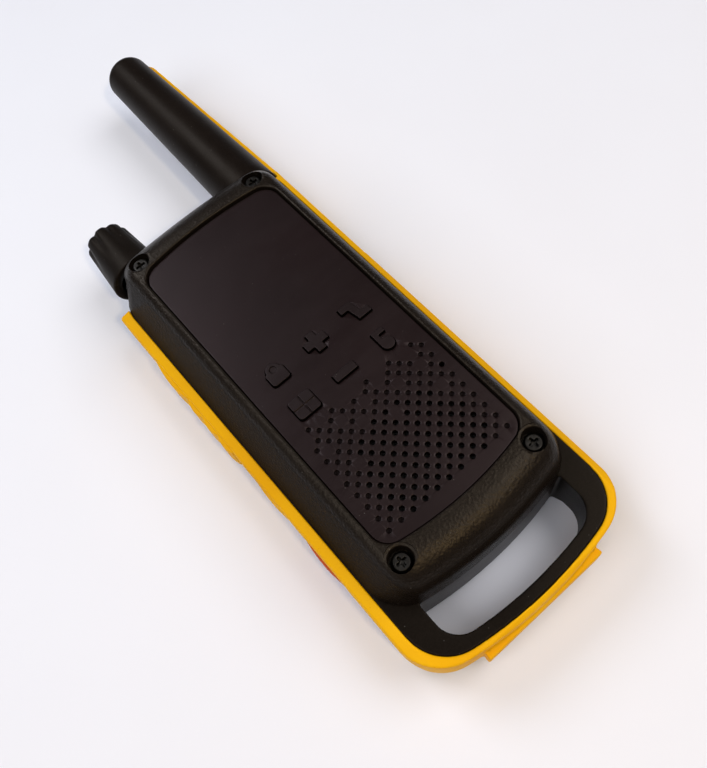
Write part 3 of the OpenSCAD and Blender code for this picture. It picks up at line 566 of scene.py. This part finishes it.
def woven(name, dark, light, pitch=0.32, depth=0.05, rough=0.75):
    """Woven cloth: two crossed thread waves."""
    mat = Material(name)
    x, y = mat.split(mat.point)[:2]
    wave = math.tau / pitch
    across = mat.math("SINE", mat.math("MULTIPLY", x, wave))
    along = mat.math("SINE", mat.math("MULTIPLY", y, wave))
    weave = mat.math("MULTIPLY", across, along)
    weave = mat.math("ADD", weave, mat.math("MULTIPLY", mat.noise(size=0.1), 0.5))
    color = mat.mix(mat.remap(weave, span=(-0.8, 1.0)), dark, light)
    fade = mat.remap(mat.noise(size=4, detail=4), span=(0.5, 0.75), to=(0, 0.4))
    color = mat.mix(fade, color, brighter(light, 1.6))
    return mat.finish(Base_Color=color, Roughness=rough, Normal=mat.bump(weave, depth=depth),
                      Sheen_Weight=0.15)


def glassy(name, tint, transmission):
    mat = Material(name)
    big = mat.noise(size=5, detail=4)
    color = mat.mix(mat.remap(big), tint, brighter(tint, 0.93))
    roughness = mat.math("ADD", mat.remap(big, span=(0.35, 0.7), to=(0.03, 0.12)),
                         mat.specks(size=1.5, edge=(0.03, 0.06), peak=0.3))
    return mat.finish(Base_Color=color, Roughness=roughness,
                      Normal=mat.bump(mat.noise(size=2.0), depth=0.004),
                      Transmission_Weight=transmission, IOR=1.49)


def sleeve(name):
    """Shrink sleeve of a round cell: a plain two-tone wrap with fine wrinkles."""
    mat = Material(name)
    y = mat.split(mat.point)[1]
    color = mat.mix(mat.remap(y, span=(-29.5, -29.2)), (0.035, 0.09, 0.22), (0.42, 0.43, 0.44))
    stain = mat.remap(mat.noise(size=3, detail=4), span=(0.35, 0.7), to=(0, 0.4))
    color = mat.mix(stain, color, (0.02, 0.04, 0.09))
    wrinkles = mat.noise(size=1.2, detail=4, rough=0.6, stretch=(1, 0.25, 1))
    return mat.finish(Base_Color=color, Roughness=mat.remap(wrinkles, to=(0.22, 0.4)),
                      Normal=mat.bump(wrinkles, depth=0.03))


# ---------------------------------------------------------------- the radio's materials
# material name: (kind, its values)
LOOKS = {
    "housing_black": (spark_plastic, dict(
        dark=(0.0060, 0.0041, 0.0030), light=(0.0092, 0.0066, 0.0050), rough=(0.24, 0.34),
        grain=0.55, depth=0.11, shine=0.20, wall_shine=0.012)),
    "knob_black": (spark_plastic, dict(
        dark=(0.0060, 0.0044, 0.0036), light=(0.0095, 0.0072, 0.0060), rough=(0.38, 0.5),
        grain=0.34, depth=0.012, wear=0.4)),
    "antenna_black": (spark_plastic, dict(
        dark=(0.0062, 0.0043, 0.0034), light=(0.0095, 0.0068, 0.0056), rough=(0.34, 0.46),
        grain=0.4, depth=0.02, shine=0.085)),
    "rear_black": (spark_plastic, dict(
        dark=(0.0050, 0.0036, 0.0028), light=(0.0080, 0.0060, 0.0048), rough=(0.30, 0.40),
        grain=0.38, depth=0.010, wear=0.3, shine=0.08)),
    "panel_black": (satin_plastic, dict(
        dark=(0.0066, 0.0033, 0.0033), light=(0.0098, 0.0049, 0.0050), rough=(0.33, 0.42),
        dusty=0.5, top=Z_PANEL)),
    "key_black": (satin_plastic, dict(
        dark=(0.0060, 0.0036, 0.0036), light=(0.0092, 0.0054, 0.0054), rough=(0.34, 0.46),
        dusty=0.3)),
    "band_yellow": (soft_rubber, dict(
        main=(0.90, 0.47, 0.003), deep=(0.82, 0.39, 0.003), pale=(0.93, 0.58, 0.015),
        dirt=(0.30, 0.15, 0.02))),
    "key_orange": (soft_rubber, dict(
        main=(0.58, 0.085, 0.010), deep=(0.50, 0.065, 0.008), pale=(0.75, 0.20, 0.05),
        dirt=(0.14, 0.03, 0.01))),
    "seal_black": (moulded, dict(
        dark=(0.010, 0.010, 0.010), light=(0.018, 0.018, 0.017), speck=(0.12, 0.12, 0.11),
        rough=(0.6, 0.75), fine_size=0.4, depth=0.02)),
    "rubber_grey": (moulded, dict(
        dark=(0.42, 0.42, 0.40), light=(0.50, 0.50, 0.48), speck=(0.2, 0.2, 0.2),
        rough=(0.55, 0.7), fine_size=0.35, depth=0.012)),
    "screw_black": (metal, dict(
        dark=(0.024, 0.022, 0.020), light=(0.040, 0.037, 0.034), rough=(0.34, 0.5),
        tarnish=(0.012, 0.010, 0.008), tarnished=0.5)),
    "steel": (metal, dict(dark=(0.58, 0.58, 0.60), light=(0.68, 0.68, 0.69))),
    "contact_plate": (metal, dict(
        dark=(0.70, 0.68, 0.62), light=(0.76, 0.74, 0.68), rough=(0.16, 0.32))),
    "copper": (metal, dict(
        dark=(0.70, 0.33, 0.16), light=(0.78, 0.40, 0.20), rough=(0.2, 0.36),
        tarnish=(0.25, 0.10, 0.05))),
    "core_white": (moulded, dict(
        dark=(0.70, 0.70, 0.66), light=(0.76, 0.76, 0.72), speck=(0.4, 0.4, 0.36))),
    "board_green": (board, {}),
    "part_dark": (moulded, dict(
        dark=(0.030, 0.030, 0.033), light=(0.045, 0.045, 0.048), speck=(0.15, 0.15, 0.15))),
    "display_glass": (glassy, dict(tint=(0.10, 0.12, 0.10), transmission=0.2)),
    "lens_clear": (glassy, dict(tint=(0.90, 0.93, 0.96), transmission=0.9)),
    "led_yellow": (moulded, dict(
        dark=(0.72, 0.64, 0.22), light=(0.80, 0.74, 0.34), speck=(0.9, 0.9, 0.7),
        rough=(0.2, 0.35), Coat_Weight=0.6)),
    "cone_paper": (woven, dict(
        dark=(0.012, 0.011, 0.010), light=(0.030, 0.028, 0.026), pitch=0.9, depth=0.03,
        rough=0.85)),
    "mesh_black": (woven, dict(dark=(0.006, 0.006, 0.006), light=(0.020, 0.020, 0.020))),
    "magnet_grey": (moulded, dict(
        dark=(0.050, 0.050, 0.055), light=(0.085, 0.085, 0.09), speck=(0.2, 0.2, 0.2),
        rough=(0.45, 0.65), fine_size=0.5, depth=0.03, Metallic=0.5)),
    "cell_sleeve": (sleeve, {}),
    "wire_red": (moulded, dict(
        dark=(0.42, 0.020, 0.014), light=(0.50, 0.030, 0.020), speck=(0.2, 0.02, 0.02),
        rough=(0.3, 0.45))),
}
# keyed by material slot, which is the material's own name for all but the battery cells
MATERIALS = {name: make(name, **values) for name, (make, values) in LOOKS.items()}
MATERIALS["cell_blue"] = MATERIALS["cell_sleeve"]


def paint(ob, material):
    ob.data.materials.clear()
    ob.data.materials.append(material)


def paint_frame():
    for node, ob in NODES.items():
        rear = node in ("rear_shell", "battery_door")
        material = MATERIALS["rear_black" if rear else SLOT_OF[node]]
        if not ob.material_slots:
            ob.data.materials.append(material)
        for slot in ob.material_slots:
            slot.material = material


def stands_for(ob, node, body="housing", material=None):
    """Paints a modelled piece and puts it in the place of a frame node."""
    paint(ob, material or MATERIALS[SLOT_OF[node]])
    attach(ob, body)
    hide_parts(node)


paint_frame()


# ---------------------------------------------------------------- front housing
def housing_cutters():
    """Screw wells, openings in the panel recess and bores in the top end."""
    # screw well: radius, depth below the rim
    well_mouth = [(2.68, 0.75), (2.76, 0.55), (2.95, 0.42), (3.25, 0.40), (3.38, 0.36),
                  (3.44, 0.25), (3.46, -2)]
    well_floor, well_radius = 27.15, well_mouth[0][0]
    well = [(0, well_floor), (well_radius, well_floor),
            *[(radius, Z_RIM - depth) for radius, depth in well_mouth], (0, Z_RIM + 2)]
    low, high = 20, Z_RECESS + 0.5           # reach of the cuts through the recess floor
    half_key_x, half_key_y = 4.35, 3.85
    cutters = []
    for x, y in SCREWS:
        cutters.append(lathe_cutter(well, (x, y, 0), segments=64))
        cutters.append(drill((x, y, 0), radius=1.25, low=15, high=28, segments=32))
    cutters.append(drill((0, SPEAKER_Y, 0), radius=15.5, low=low, high=high, segments=96))
    cutters.append(drill((*MICROPHONE, 0), radius=0.7, low=low, high=high, segments=24))
    cutters.append(box_cutter((-13, 65, low), (13, 84, high)))       # display window
    for x, y in KEYS:
        cutters.append(box_cutter((x - half_key_x, y - half_key_y, low),
                                  (x + half_key_x, y + half_key_y, high)))
    # bores for the knob's bushing, the antenna's neck and the torch: x, z, radius, segments
    for x, z, radius, segments in ((KNOB_X, 16, 3.05, 48), (ANTENNA_X, ANTENNA_Z, 4.55, 64),
                                   (0, 15.5, 4.05, 64)):
        cutters.append(drill((x, Y_TOP, z), radius, low=-6, high=4, segments=segments,
                             axis="y"))
    return cutters


def make_housing():
    outer, outward = arch_outline(HALF_WIDTH, bottom=Y_BODY, bottom_radius=97, top=Y_TOP,
                                  top_radius=1e5, bottom_corner=10, top_corner=9.3)
    recess, recess_out = arch_outline(**PANEL_ARCH)
    side, end = outward[:, 0] ** 2, outward[:, 1] ** 2      # how much a point is side or end
    gap, lip = 0.12, 0.5                     # gap around the panel, round of the recess's lip
    wall = 2.1
    foot_z, wall_z = Z_JOINT - 0.2, Z_JOINT + 0.25
    # sides: a wall that leans in, rounded at its top; ends: an upright wall, a larger round
    lean = math.radians(20)
    side_round = 3.5
    side_round_z = Z_RIM - side_round + side_round * math.sin(lean)
    round_inset = side_round * math.cos(lean) + SIDE_LEAN * (side_round_z - foot_z)
    rim_inset = HALF_WIDTH - (PANEL_ARCH["half_width"] + gap + lip)
    last_angle = math.acos(min(1, max(0, (round_inset - rim_inset) / side_round)))
    end_round = np.where(outward[:, 1] < 0, 8.0,
                         8.0 + 1.2 * np.minimum(np.abs(outer[:, 0]) / 17.5, 1) ** 2)
    wall_share, end_lean = 0.3, 0.10         # part of t spent on the wall, inset of the end wall

    def wall_at(t):
        """Inset and height of the outer surface; t runs from the joint to the flat top."""
        if t < wall_share:
            k = t / wall_share
            side_z = wall_z + (side_round_z - wall_z) * k
            side_inset = SIDE_LEAN * (side_z - foot_z)
            end_inset, end_z = end_lean * k, wall_z + (Z_RIM - end_round - wall_z) * k
        else:
            k = (t - wall_share) / 0.7
            angle = lean * (1 - k) + last_angle * k
            side_inset = round_inset - side_round * math.cos(angle)
            side_z = Z_RIM - side_round * (1 - math.sin(angle))
            angle = k * math.pi / 2
            end_inset = end_lean * (1 - k) + end_round * (1 - math.cos(angle))
            end_z = Z_RIM - end_round * (1 - math.sin(angle))
        return side * side_inset + end * end_inset, side * side_z + end * end_z

    def inner_inset(z):
        return (wall + side * SIDE_LEAN * (z - foot_z))[:, None]

    build = Build()
    ceiling_z = Z_RECESS - 1.6
    rings = [build.ring_at(outer - outward * inner_inset(z), z)
             for z in (ceiling_z, Z_JOINT + 0.2)]
    for inset, z in ((wall - 0.2, Z_JOINT), (0.28, Z_JOINT), (0.14, Z_JOINT + 0.07)):
        rings.append(build.ring_at(outer - outward * inset, z))
    for t in [0.0, 0.1, 0.2] + list(np.linspace(0.3, 1, 17)):
        inset, rim_z = wall_at(t)
        rim = outer - outward * inset[:, None]
        rings.append(build.ring_at(rim, rim_z))
    lip_edge = recess + recess_out * (gap + lip)
    for t in (0.35, 0.7):
        rings.append(build.ring_at(rim * (1 - t) + lip_edge * t, rim_z))
    for angle in np.linspace(0, math.pi / 2, 6):
        rings.append(build.ring_at(recess + recess_out * (gap + lip * (1 - math.sin(angle))),
                                   rim_z - lip * (1 - math.cos(angle))))
    rings.append(build.ring_at(recess + recess_out * gap, Z_RECESS))
    build.chain(rings)
    build.cap([rings[0]])
    build.cap([rings[-1]])
    ob = new_object("front_housing", build.verts, build.faces)
    cut_away(ob, housing_cutters())
    smooth_by(ob, 38)
    weight_normals(ob)
    stands_for(ob, "front_shell")


make_housing()


# ---------------------------------------------------------------- key openings
# Signed distances to the shapes that make up the openings, negative inside.
def from_box(x, y):
    """Distance from the offsets beyond a box's half sizes."""
    return np.hypot(np.maximum(x, 0), np.maximum(y, 0)) + np.minimum(np.maximum(x, y), 0)


def bar(points, start, stop, width):
    """Straight stroke with square ends."""
    start, stop = np.array(start, float), np.array(stop, float)
    length = np.linalg.norm(stop - start)
    along = (stop - start) / length
    offset = points - (start + stop) / 2
    return from_box(np.abs(offset @ along) - length / 2,
                    np.abs(offset @ np.array([-along[1], along[0]])) - width / 2)


def disc(points, centre, radius):
    return np.linalg.norm(points - np.array(centre), axis=-1) - radius


def rectangle(points, x0, x1, y0, y1, corner):
    centre = np.array([(x0 + x1) / 2, (y0 + y1) / 2])
    half = np.array([(x1 - x0) / 2 - corner, (y1 - y0) / 2 - corner])
    offset = np.abs(points - centre) - half
    return from_box(offset[..., 0], offset[..., 1]) - corner


# one glyph for each of KEYS: the shapes it unites, about its own centre
GLYPHS = [
    [(rectangle, -2.35, 2.35, -2.6, 1.0, 0.6), (disc, (0, 0.9), 1.85)],            # domed block
    [(bar, (-2.9, 0), (2.9, 0), 2.1), (bar, (0, -2.7), (0, 2.7), 2.1)],            # plus
    [(bar, (-3.0, 1.75), (0.6, 1.75), 1.7), (bar, (-0.3, 1.6), (0.3, -1.6), 1.9),
     (bar, (-0.6, -1.75), (3.0, -1.75), 1.7)],                                     # zigzag
    [(rectangle, -2.9, 2.9, -2.6, 2.6, 0.65)],                                     # block
    [(bar, (-2.9, 0), (2.9, 0), 2.1)],                                             # minus
    [(disc, (0, -1.2), 1.65), (bar, (-1.0, -1.2), (-1.0, 2.8), 1.3),
     (bar, (-1.0, 2.2), (1.5, 2.2), 1.3)],                                         # disc and flag
]


def glyph_contour(glyph, clearance, half=4.2, step=0.06, spacing=0.16):
    """One closed anticlockwise loop around a glyph, with evenly spaced points."""
    grid = np.arange(-half, half + step, step)
    points = np.stack(np.meshgrid(grid, grid, indexing="ij"), -1)
    field = np.minimum.reduce([shape(points, *sizes) for shape, *sizes in glyph]) - clearance
    inside = field < 0
    # A crossing is (i, j, direction): the grid edge from (i, j) along x (0) or y (1).
    links = {}
    corners = inside[:-1, :-1].astype(int) + inside[1:, :-1] + inside[:-1, 1:] + inside[1:, 1:]
    for i, j in zip(*np.where(corners % 4 != 0)):
        crossed = []
        if inside[i, j] != inside[i + 1, j]:
            crossed.append((i, j, 0))
        if inside[i + 1, j] != inside[i + 1, j + 1]:
            crossed.append((i + 1, j, 1))
        if inside[i, j + 1] != inside[i + 1, j + 1]:
            crossed.append((i, j + 1, 0))
        if inside[i, j] != inside[i, j + 1]:
            crossed.append((i, j, 1))
        for a, b in zip(crossed[::2], crossed[1::2]):
            links.setdefault(a, []).append(b)
            links.setdefault(b, []).append(a)

    start = next(iter(links))
    loop, previous, current = [start], None, start
    while True:
        ahead = [crossing for crossing in links[current] if crossing != previous]
        if not ahead or ahead[0] == start:
            break
        previous, current = current, ahead[0]
        loop.append(current)

    def crossing_point(i, j, direction):
        here = field[i, j]
        there = field[i + 1, j] if direction == 0 else field[i, j + 1]
        shift = here / (here - there) * step
        return (grid[i] + (shift if direction == 0 else 0),
                grid[j] + (shift if direction == 1 else 0))

    path = np.array([crossing_point(*crossing) for crossing in loop])
    x, y = path[:, 0], path[:, 1]
    if np.sum(x * np.roll(y, -1) - np.roll(x, -1) * y) < 0:
        path = path[::-1]
    lengths = np.linalg.norm(np.roll(path, -1, 0) - path, axis=1)
    reached = np.r_[0, np.cumsum(lengths)]
    count = max(24, int(reached[-1] / spacing))
    stops = np.linspace(0, reached[-1], count, endpoint=False)
    closed = np.vstack([path, path[:1]])
    return np.c_[np.interp(stops, reached, closed[:, 0]),
                 np.interp(stops, reached, closed[:, 1])]


def loop_normals(loop):
    """Outward normals of an anticlockwise loop, smoothed along it."""
    def unit(vectors):
        return vectors / (np.linalg.norm(vectors, axis=1)[:, None] + 1e-12)

    tangents = np.roll(loop, -1, 0) - np.roll(loop, 1, 0)
    normals = unit(np.c_[tangents[:, 1], -tangents[:, 0]])
    for _ in range(2):
        normals = unit(normals + 0.5 * (np.roll(normals, 1, 0) + np.roll(normals, -1, 0)))
    return normals


# ---------------------------------------------------------------- face panel
# The speaker lattice is a square one turned by 45 degrees: every other place of a finer grid.
LATTICE_X, LATTICE_Y = 0.2, 12.43
LATTICE_PITCH = 2.3 / math.sqrt(2)
# places (u, v) that stay plain, so that the fringe thins out towards the top
PLAIN = {(-7, 13), (-3, 13), (-1, 13), (3, 13), (7, 13), (-10, 12), (2, 12), (8, 12), (-5, 11),
         (-1, 11), (4, 10), (8, 10), (-9, 9), (-3, 9), (1, 7), (8, 6), (-7, 5)}


def speaker_holes():
    """(x, y, goes through) for each hole; those that don't go through are dimples."""
    holes = []
    for v in range(-6, 15):
        for u in range(-11, 12):
            x, y = LATTICE_X + LATTICE_PITCH * u, LATTICE_Y + LATTICE_PITCH * v
            if (u + v) % 2 or (u, v) in PLAIN or not (abs(x) < 16.9 and 5 < y < 34.3):
                continue
            over_microphone = math.hypot(x - MICROPHONE[0], y - MICROPHONE[1]) < 0.9
            over_speaker = math.hypot(x - LATTICE_X, y - SPEAKER_Y) < 13.75
            holes.append((x, y, over_microphone or over_speaker))
    return holes


def make_panel():
    outline, outward = arch_outline(**PANEL_ARCH, side_steps=60, top_steps=40, bottom_steps=40,
                                    corner_steps=14)
    build = Build()
    edge_round, chamfer = 0.34, 0.15
    rings = [build.ring_at(outline - outward * chamfer, Z_PANEL_BACK),
             build.ring_at(outline, Z_PANEL_BACK + chamfer)]
    for angle in np.linspace(0, math.pi / 2, 6):
        rings.append(build.ring_at(outline - outward * edge_round * (1 - math.cos(angle)),
                                   Z_PANEL - edge_round * (1 - math.sin(angle))))
    build.chain(rings)
    bottom, top = [rings[0]], [rings[-1]]

    angles = circle_angles(20)
    circle = np.c_[np.cos(angles), np.sin(angles)]
    for x, y, through in speaker_holes():
        radius = 0.6 if through else 0.56
        # radius, depth below the face
        stations = [(radius + 0.13, 0), (radius + 0.045, 0.045), (radius, 0.14)]
        if through:
            stations.append((radius, Z_PANEL - Z_PANEL_BACK))
        else:
            stations += [(radius - 0.05, 0.38), (radius * 0.55, 0.45)]
        rings = [build.ring_at(np.array([x, y]) + circle * r, Z_PANEL - depth)
                 for r, depth in stations]
        build.chain(rings)
        top.append(rings[0])
        if through:
            bottom.append(rings[-1])
        else:
            build.fan(rings[-1], (x, y, Z_PANEL - 0.46))

    for centre, glyph in zip(KEYS, GLYPHS):
        loop = glyph_contour(glyph, clearance=0.15)
        normals = loop_normals(loop)
        # spread of the opening, height
        stations = [(0.14, Z_PANEL), (0.045, Z_PANEL - 0.045), (0, Z_PANEL - 0.15),
                    (0, Z_PANEL_BACK)]
        rings = [build.ring_at(np.array(centre) + loop + normals * spread, z)
                 for spread, z in stations]
        build.chain(rings)
        top.append(rings[0])
        bottom.append(rings[-1])
    build.cap(top)
    build.cap(bottom)
    ob = new_object("face_panel", build.verts, build.faces, angle=50)
    weight_normals(ob)
    stands_for(ob, "front_panel")


make_panel()


# ---------------------------------------------------------------- antenna sleeve
def make_antenna():
    base_radius, tip_radius, tip_round, crown = 8.2, 6.45, 3.2, 0.12
    bore_radius, bore_foot, bore_top = 3.6, -4.5, ANTENNA_LENGTH - 5.2
    taper = ANTENNA_LENGTH - crown - tip_round        # length of the tapering part
    flat = tip_radius - tip_round
    # radius, distance above the housing's top end: the neck, then the foot of the sleeve
    profile = [(bore_radius, bore_foot), (4.75, bore_foot), (4.75, -3.2), (4.5, -3.05),
               (4.5, 0.06), (base_radius - 0.3, 0.06), (base_radius - 0.07, 0.14),
               (base_radius - 0.01, 0.34)]
    for t in np.linspace(0.06, 1, 14):
        profile.append((base_radius + (tip_radius - base_radius) * t, taper * t))
    for a in np.linspace(0.1, math.pi / 2, 14):
        profile.append((flat + tip_round * math.cos(a), taper + tip_round * math.sin(a)))
    for k in (0.66, 0.33):
        profile.append((flat * k, ANTENNA_LENGTH - crown * k * k))
    build = Build()
    angles = circle_angles(112)

    def ring(radius, height):
        return build.ring(around_y(ANTENNA_X, Y_TOP + height, ANTENNA_Z, radius, angles))

    rings = [ring(*row) for row in profile]
    build.chain(rings)
    build.fan(rings[-1], (ANTENNA_X, Y_TOP + ANTENNA_LENGTH, ANTENNA_Z))
    bore_end = ring(bore_radius, bore_top)
    build.join(rings[0], bore_end)
    build.fan(bore_end, (ANTENNA_X, Y_TOP + bore_top, ANTENNA_Z))
    ob = new_object("antenna_sleeve", build.verts, build.faces, angle=40)
    stands_for(ob, "antenna_cover", material=MATERIALS["antenna_black"])


make_antenna()


# ---------------------------------------------------------------- volume knob
def make_knob():
    foot_radius, top_radius, top_round = 7.3, 5.93, 1.5
    shaft_radius, shaft_depth = 2.03, 10.0
    flutes, first_flute = 8, math.radians(22.5)
    flute_start, flute_growth = 6.4, 0.075   # flutes deepen with height from about here
    angles = circle_angles(252)
    fluting = (0.5 + 0.5 * np.cos(flutes * (angles - first_flute))) ** 2.4
    build = Build()

    def body_radius(height):
        return foot_radius + (top_radius - foot_radius) * height / KNOB_LENGTH

    def plain(height, radius):
        return build.ring(around_y(KNOB_X, KNOB_Y + height, KNOB_Z, radius, angles))

    def fluted(height, shrink=0.0, share=1.0):
        above = height - flute_start
        depth = flute_growth * (math.sqrt(above ** 2 + 1.2) + above) / 2
        return plain(height, body_radius(height) - depth * fluting * share - shrink)

    # shaft hole, hollow underside and foot: height, radius
    rings = [plain(*row) for row in (
        (shaft_depth, shaft_radius), (2.2, shaft_radius), (2.2, 4.9), (0.15, 4.9), (0, 5.05),
        (0, 7.0), (0.08, 7.2))]
    rings += [fluted(height) for height in (
        0.3, 0.9, 1.8, 2.6, 3.4, 4.4, 5.4, 6.4, 7.4, 8.6, 10.0, 11.4, 12.6, 13.6, 14.4)]
    for t in np.linspace(0.1, 1, 10):
        angle = t * math.pi / 2
        rings.append(fluted(KNOB_LENGTH - 0.25 - top_round * (1 - math.sin(angle)),
                            shrink=top_round * (1 - math.cos(angle)), share=1 - 0.25 * t))
    flat = body_radius(KNOB_LENGTH) - top_round
    for share, drop in ((0.7, 0.13), (0.4, 0.04), (0.15, 0)):
        rings.append(plain(KNOB_LENGTH - drop, flat * share))
    build.chain(rings)
    build.fan(rings[0], (KNOB_X, KNOB_Y + shaft_depth, KNOB_Z))
    build.fan(rings[-1], (KNOB_X, KNOB_Y + KNOB_LENGTH, KNOB_Z))
    ob = new_object("volume_cap", build.verts, build.faces, angle=55)
    stands_for(ob, "volume_knob", "volume_knob")


make_knob()

# ---------------------------------------------------------------- parts kept from the frame
# remeshed and smoothed: voxel size, rounds of smoothing
SOFTENED = {
    "bumper_band": (0.27, 9), "rear_shell": (0.3, 5), "ptt_button": (0.2, 7),
    "torch_button": (0.2, 6), "alert_button": (0.2, 6),
    **{"key_" + key: (0.11, 4) for key in ("plus", "minus", "lock", "menu", "call", "scan")},
    "housing_screws": (0.13, 3), "port_cover": (0.2, 5), "door_latch": (0.16, 3),
}
# bevelled: width of the bevel
BEVELLED = {"battery_door": 0.2, "door_seal": 0.08, "body_seal": 0.08, **dict.fromkeys((
    "volume_control", "bushing_nut", "main_board", "rf_shield", "display_frame",
    "display_glass", "keypad_mat", "speaker_frame", "speaker_magnet", "microphone",
    "side_board", "side_switches", "torch_lens", "torch_led", "battery_cells",
    "battery_contacts", "port_board", "usb_socket", "headset_socket", "antenna_feed",
    "antenna_core", "board_screws"), 0.07)}


def soften(ob, voxel, rounds):
    """Rounds every edge: a fine remesh, then a few rounds of smoothing."""
    add_modifier(ob, "remesh", "REMESH", mode="VOXEL", voxel_size=voxel * MM,
                 use_smooth_shade=True)
    add_modifier(ob, "smooth", "SMOOTH", factor=0.5, iterations=rounds)


def bevel_edges(ob, width):
    """Merges coplanar triangles and bevels the sharp edges."""
    add_modifier(ob, "weld", "WELD", merge_threshold=2e-6)
    add_modifier(ob, "planar", "DECIMATE", decimate_type="DISSOLVE",
                 angle_limit=math.radians(0.6))
    add_modifier(ob, "bevel", "BEVEL", width=width * MM, segments=2, limit_method="ANGLE",
                 angle_limit=math.radians(32), use_clamp_overlap=True,
                 miter_outer="MITER_ARC")
    add_modifier(ob, "tri", "TRIANGULATE", keep_custom_normals=True)
    add_modifier(ob, "normals", "WEIGHTED_NORMAL", weight=80)


for node, (voxel, rounds) in SOFTENED.items():
    soften(NODES[node], voxel, rounds)
for node, width in BEVELLED.items():
    bevel_edges(NODES[node], width)


# ---------------------------------------------------------------- floor
def floor_material():
    mat = Material("floor_white")
    y = mat.split(mat.point)[1]
    # painted light falloff: the floor is lighter and bluer towards +y
    tint = mat.remap(y, span=(-160, 120), smooth=True)
    color = mat.mix(tint, (0.845, 0.845, 0.915), (0.86, 0.875, 0.95))
    patches = mat.remap(mat.noise(size=60), to=(0, 0.25))
    color = mat.mix(patches, color, (0.80, 0.80, 0.86))
    mat.finish(Base_Color=color, Roughness=0.55, Specular_IOR_Level=0.3,
               Normal=mat.bump(mat.noise(size=1.5), depth=0.01))
    # seen from below, the floor isn't there
    camera_place = mat.node("VectorTransform", vector_type="POINT", convert_from="CAMERA",
                            convert_to="WORLD")
    camera_place.inputs[0].default_value = (0, 0, 0)
    below = mat.math("LESS_THAN", mat.split(camera_place.outputs[0])[2], 0.0)
    # and it fades into the backdrop far from the radio, where the lamps no longer reach
    distance = mat.node("VectorMath", operation="LENGTH")
    mat.feed(distance.inputs[0], mat.point)
    far = mat.remap(distance.outputs["Value"], span=(420, 1000), smooth=True)
    gone = mat.math("MAXIMUM", below, far)
    clear = mat.node("BsdfTransparent")
    blend = mat.node("MixShader")
    for i, source in enumerate((gone, mat.surface.outputs[0], clear.outputs[0])):
        mat.feed(blend.inputs[i], source)
    mat.feed(mat.output.inputs[0], blend.outputs[0])
    return mat.material


def make_floor():
    bpy.ops.mesh.primitive_plane_add(size=6, location=(0, 0, -0.00003))
    floor = bpy.context.object
    floor.name = "floor"
    paint(floor, floor_material())


make_floor()


# ---------------------------------------------------------------- world and lamps
def make_world():
    """A faint room light, and a pale backdrop for the camera alone."""
    world = bpy.data.worlds.new("studio")
    SCENE.world = world
    world.use_nodes = True
    nodes, links = world.node_tree.nodes, world.node_tree.links
    nodes.clear()

    def background(color, strength):
        node = nodes.new("ShaderNodeBackground")
        node.inputs[0].default_value = (*color, 1)
        node.inputs[1].default_value = strength
        return node.outputs[0]

    output = nodes.new("ShaderNodeOutputWorld")
    blend = nodes.new("ShaderNodeMixShader")
    room = background(color=(0.93, 0.94, 1.0), strength=0.06)
    backdrop = background(color=(0.86, 0.86, 0.89), strength=1.0)
    path = nodes.new("ShaderNodeLightPath")
    for i, source in enumerate((path.outputs["Is Camera Ray"], room, backdrop)):
        links.new(source, blend.inputs[i])
    links.new(blend.outputs[0], output.inputs[0])


def make_lamp(name, direction, distance, size, share, color, size_y=None):
    """Area light aimed at the radio from a direction, with lengths in metres. Share is its
    part of a white floor's brightness."""
    toward = Vector(direction).normalized()
    aim = Vector((0, 0, 0.01))
    data = bpy.data.lights.new(name, "AREA")
    data.energy = share * math.pi ** 2 * distance ** 2 / toward.z
    data.color = color
    data.size = size
    if size_y:
        data.shape = "RECTANGLE"
        data.size_y = size_y
    ob = bpy.data.objects.new(name, data)
    SCENE.collection.objects.link(ob)
    place = aim + toward * distance
    ob.location = place
    ob.rotation_mode = "QUATERNION"
    ob.rotation_quaternion = (aim - place).to_track_quat("-Z", "Y")


make_world()
make_lamp("top_cool", direction=(-0.25, 0.70, 0.80), distance=1.3, size=0.60, share=0.30,
          color=(0.90, 0.93, 1.0))
make_lamp("right_warm", direction=(0.60, -0.24, 1.0), distance=1.3, size=0.80, share=0.38,
          color=(1.0, 0.985, 0.97))
make_lamp("left_fill", direction=(-0.75, -0.10, 0.95), distance=1.3, size=0.8, share=0.29,
          color=(0.97, 0.98, 1.0))
make_lamp("rim_warm", direction=(0.02, -0.62, 0.77), distance=0.8, size=0.05, share=0.18,
          color=(1.0, 0.80, 0.48), size_y=0.04)


# ---------------------------------------------------------------- camera
def rotation_matrix(vector):
    """Rotation about a vector by its length in radians."""
    angle = np.linalg.norm(vector)
    x, y, z = vector / angle
    cross = np.array([[0, -z, y], [z, 0, -x], [-y, x, 0]])
    return np.eye(3) + math.sin(angle) * cross + (1 - math.cos(angle)) * cross @ cross


def make_camera():
    data = bpy.data.cameras.new("camera")
    camera = bpy.data.objects.new("camera", data)
    SCENE.collection.objects.link(camera)
    SCENE.camera = camera
    camera.location = (-31.3639 * MM, (-29.2395 - Y_SHIFT) * MM, (149.8758 + Z_PANEL) * MM)
    # turns the world to view axes with y down and z forward, so y and z are then flipped
    to_view = rotation_matrix(np.array([2.5194434788, -0.9663173041, 0.0492473592]))
    axes = to_view.T @ np.diag([1, -1, -1])
    camera.rotation_euler = Matrix(axes.tolist()).to_euler("XYZ")
    data.sensor_width = 36
    data.lens = 35.9687
    data.clip_start = 0.005
    data.clip_end = 20


make_camera()
SCENE.view_settings.view_transform = "Standard"
SCENE.view_settings.look = "None"

bpy.context.view_layer.update()
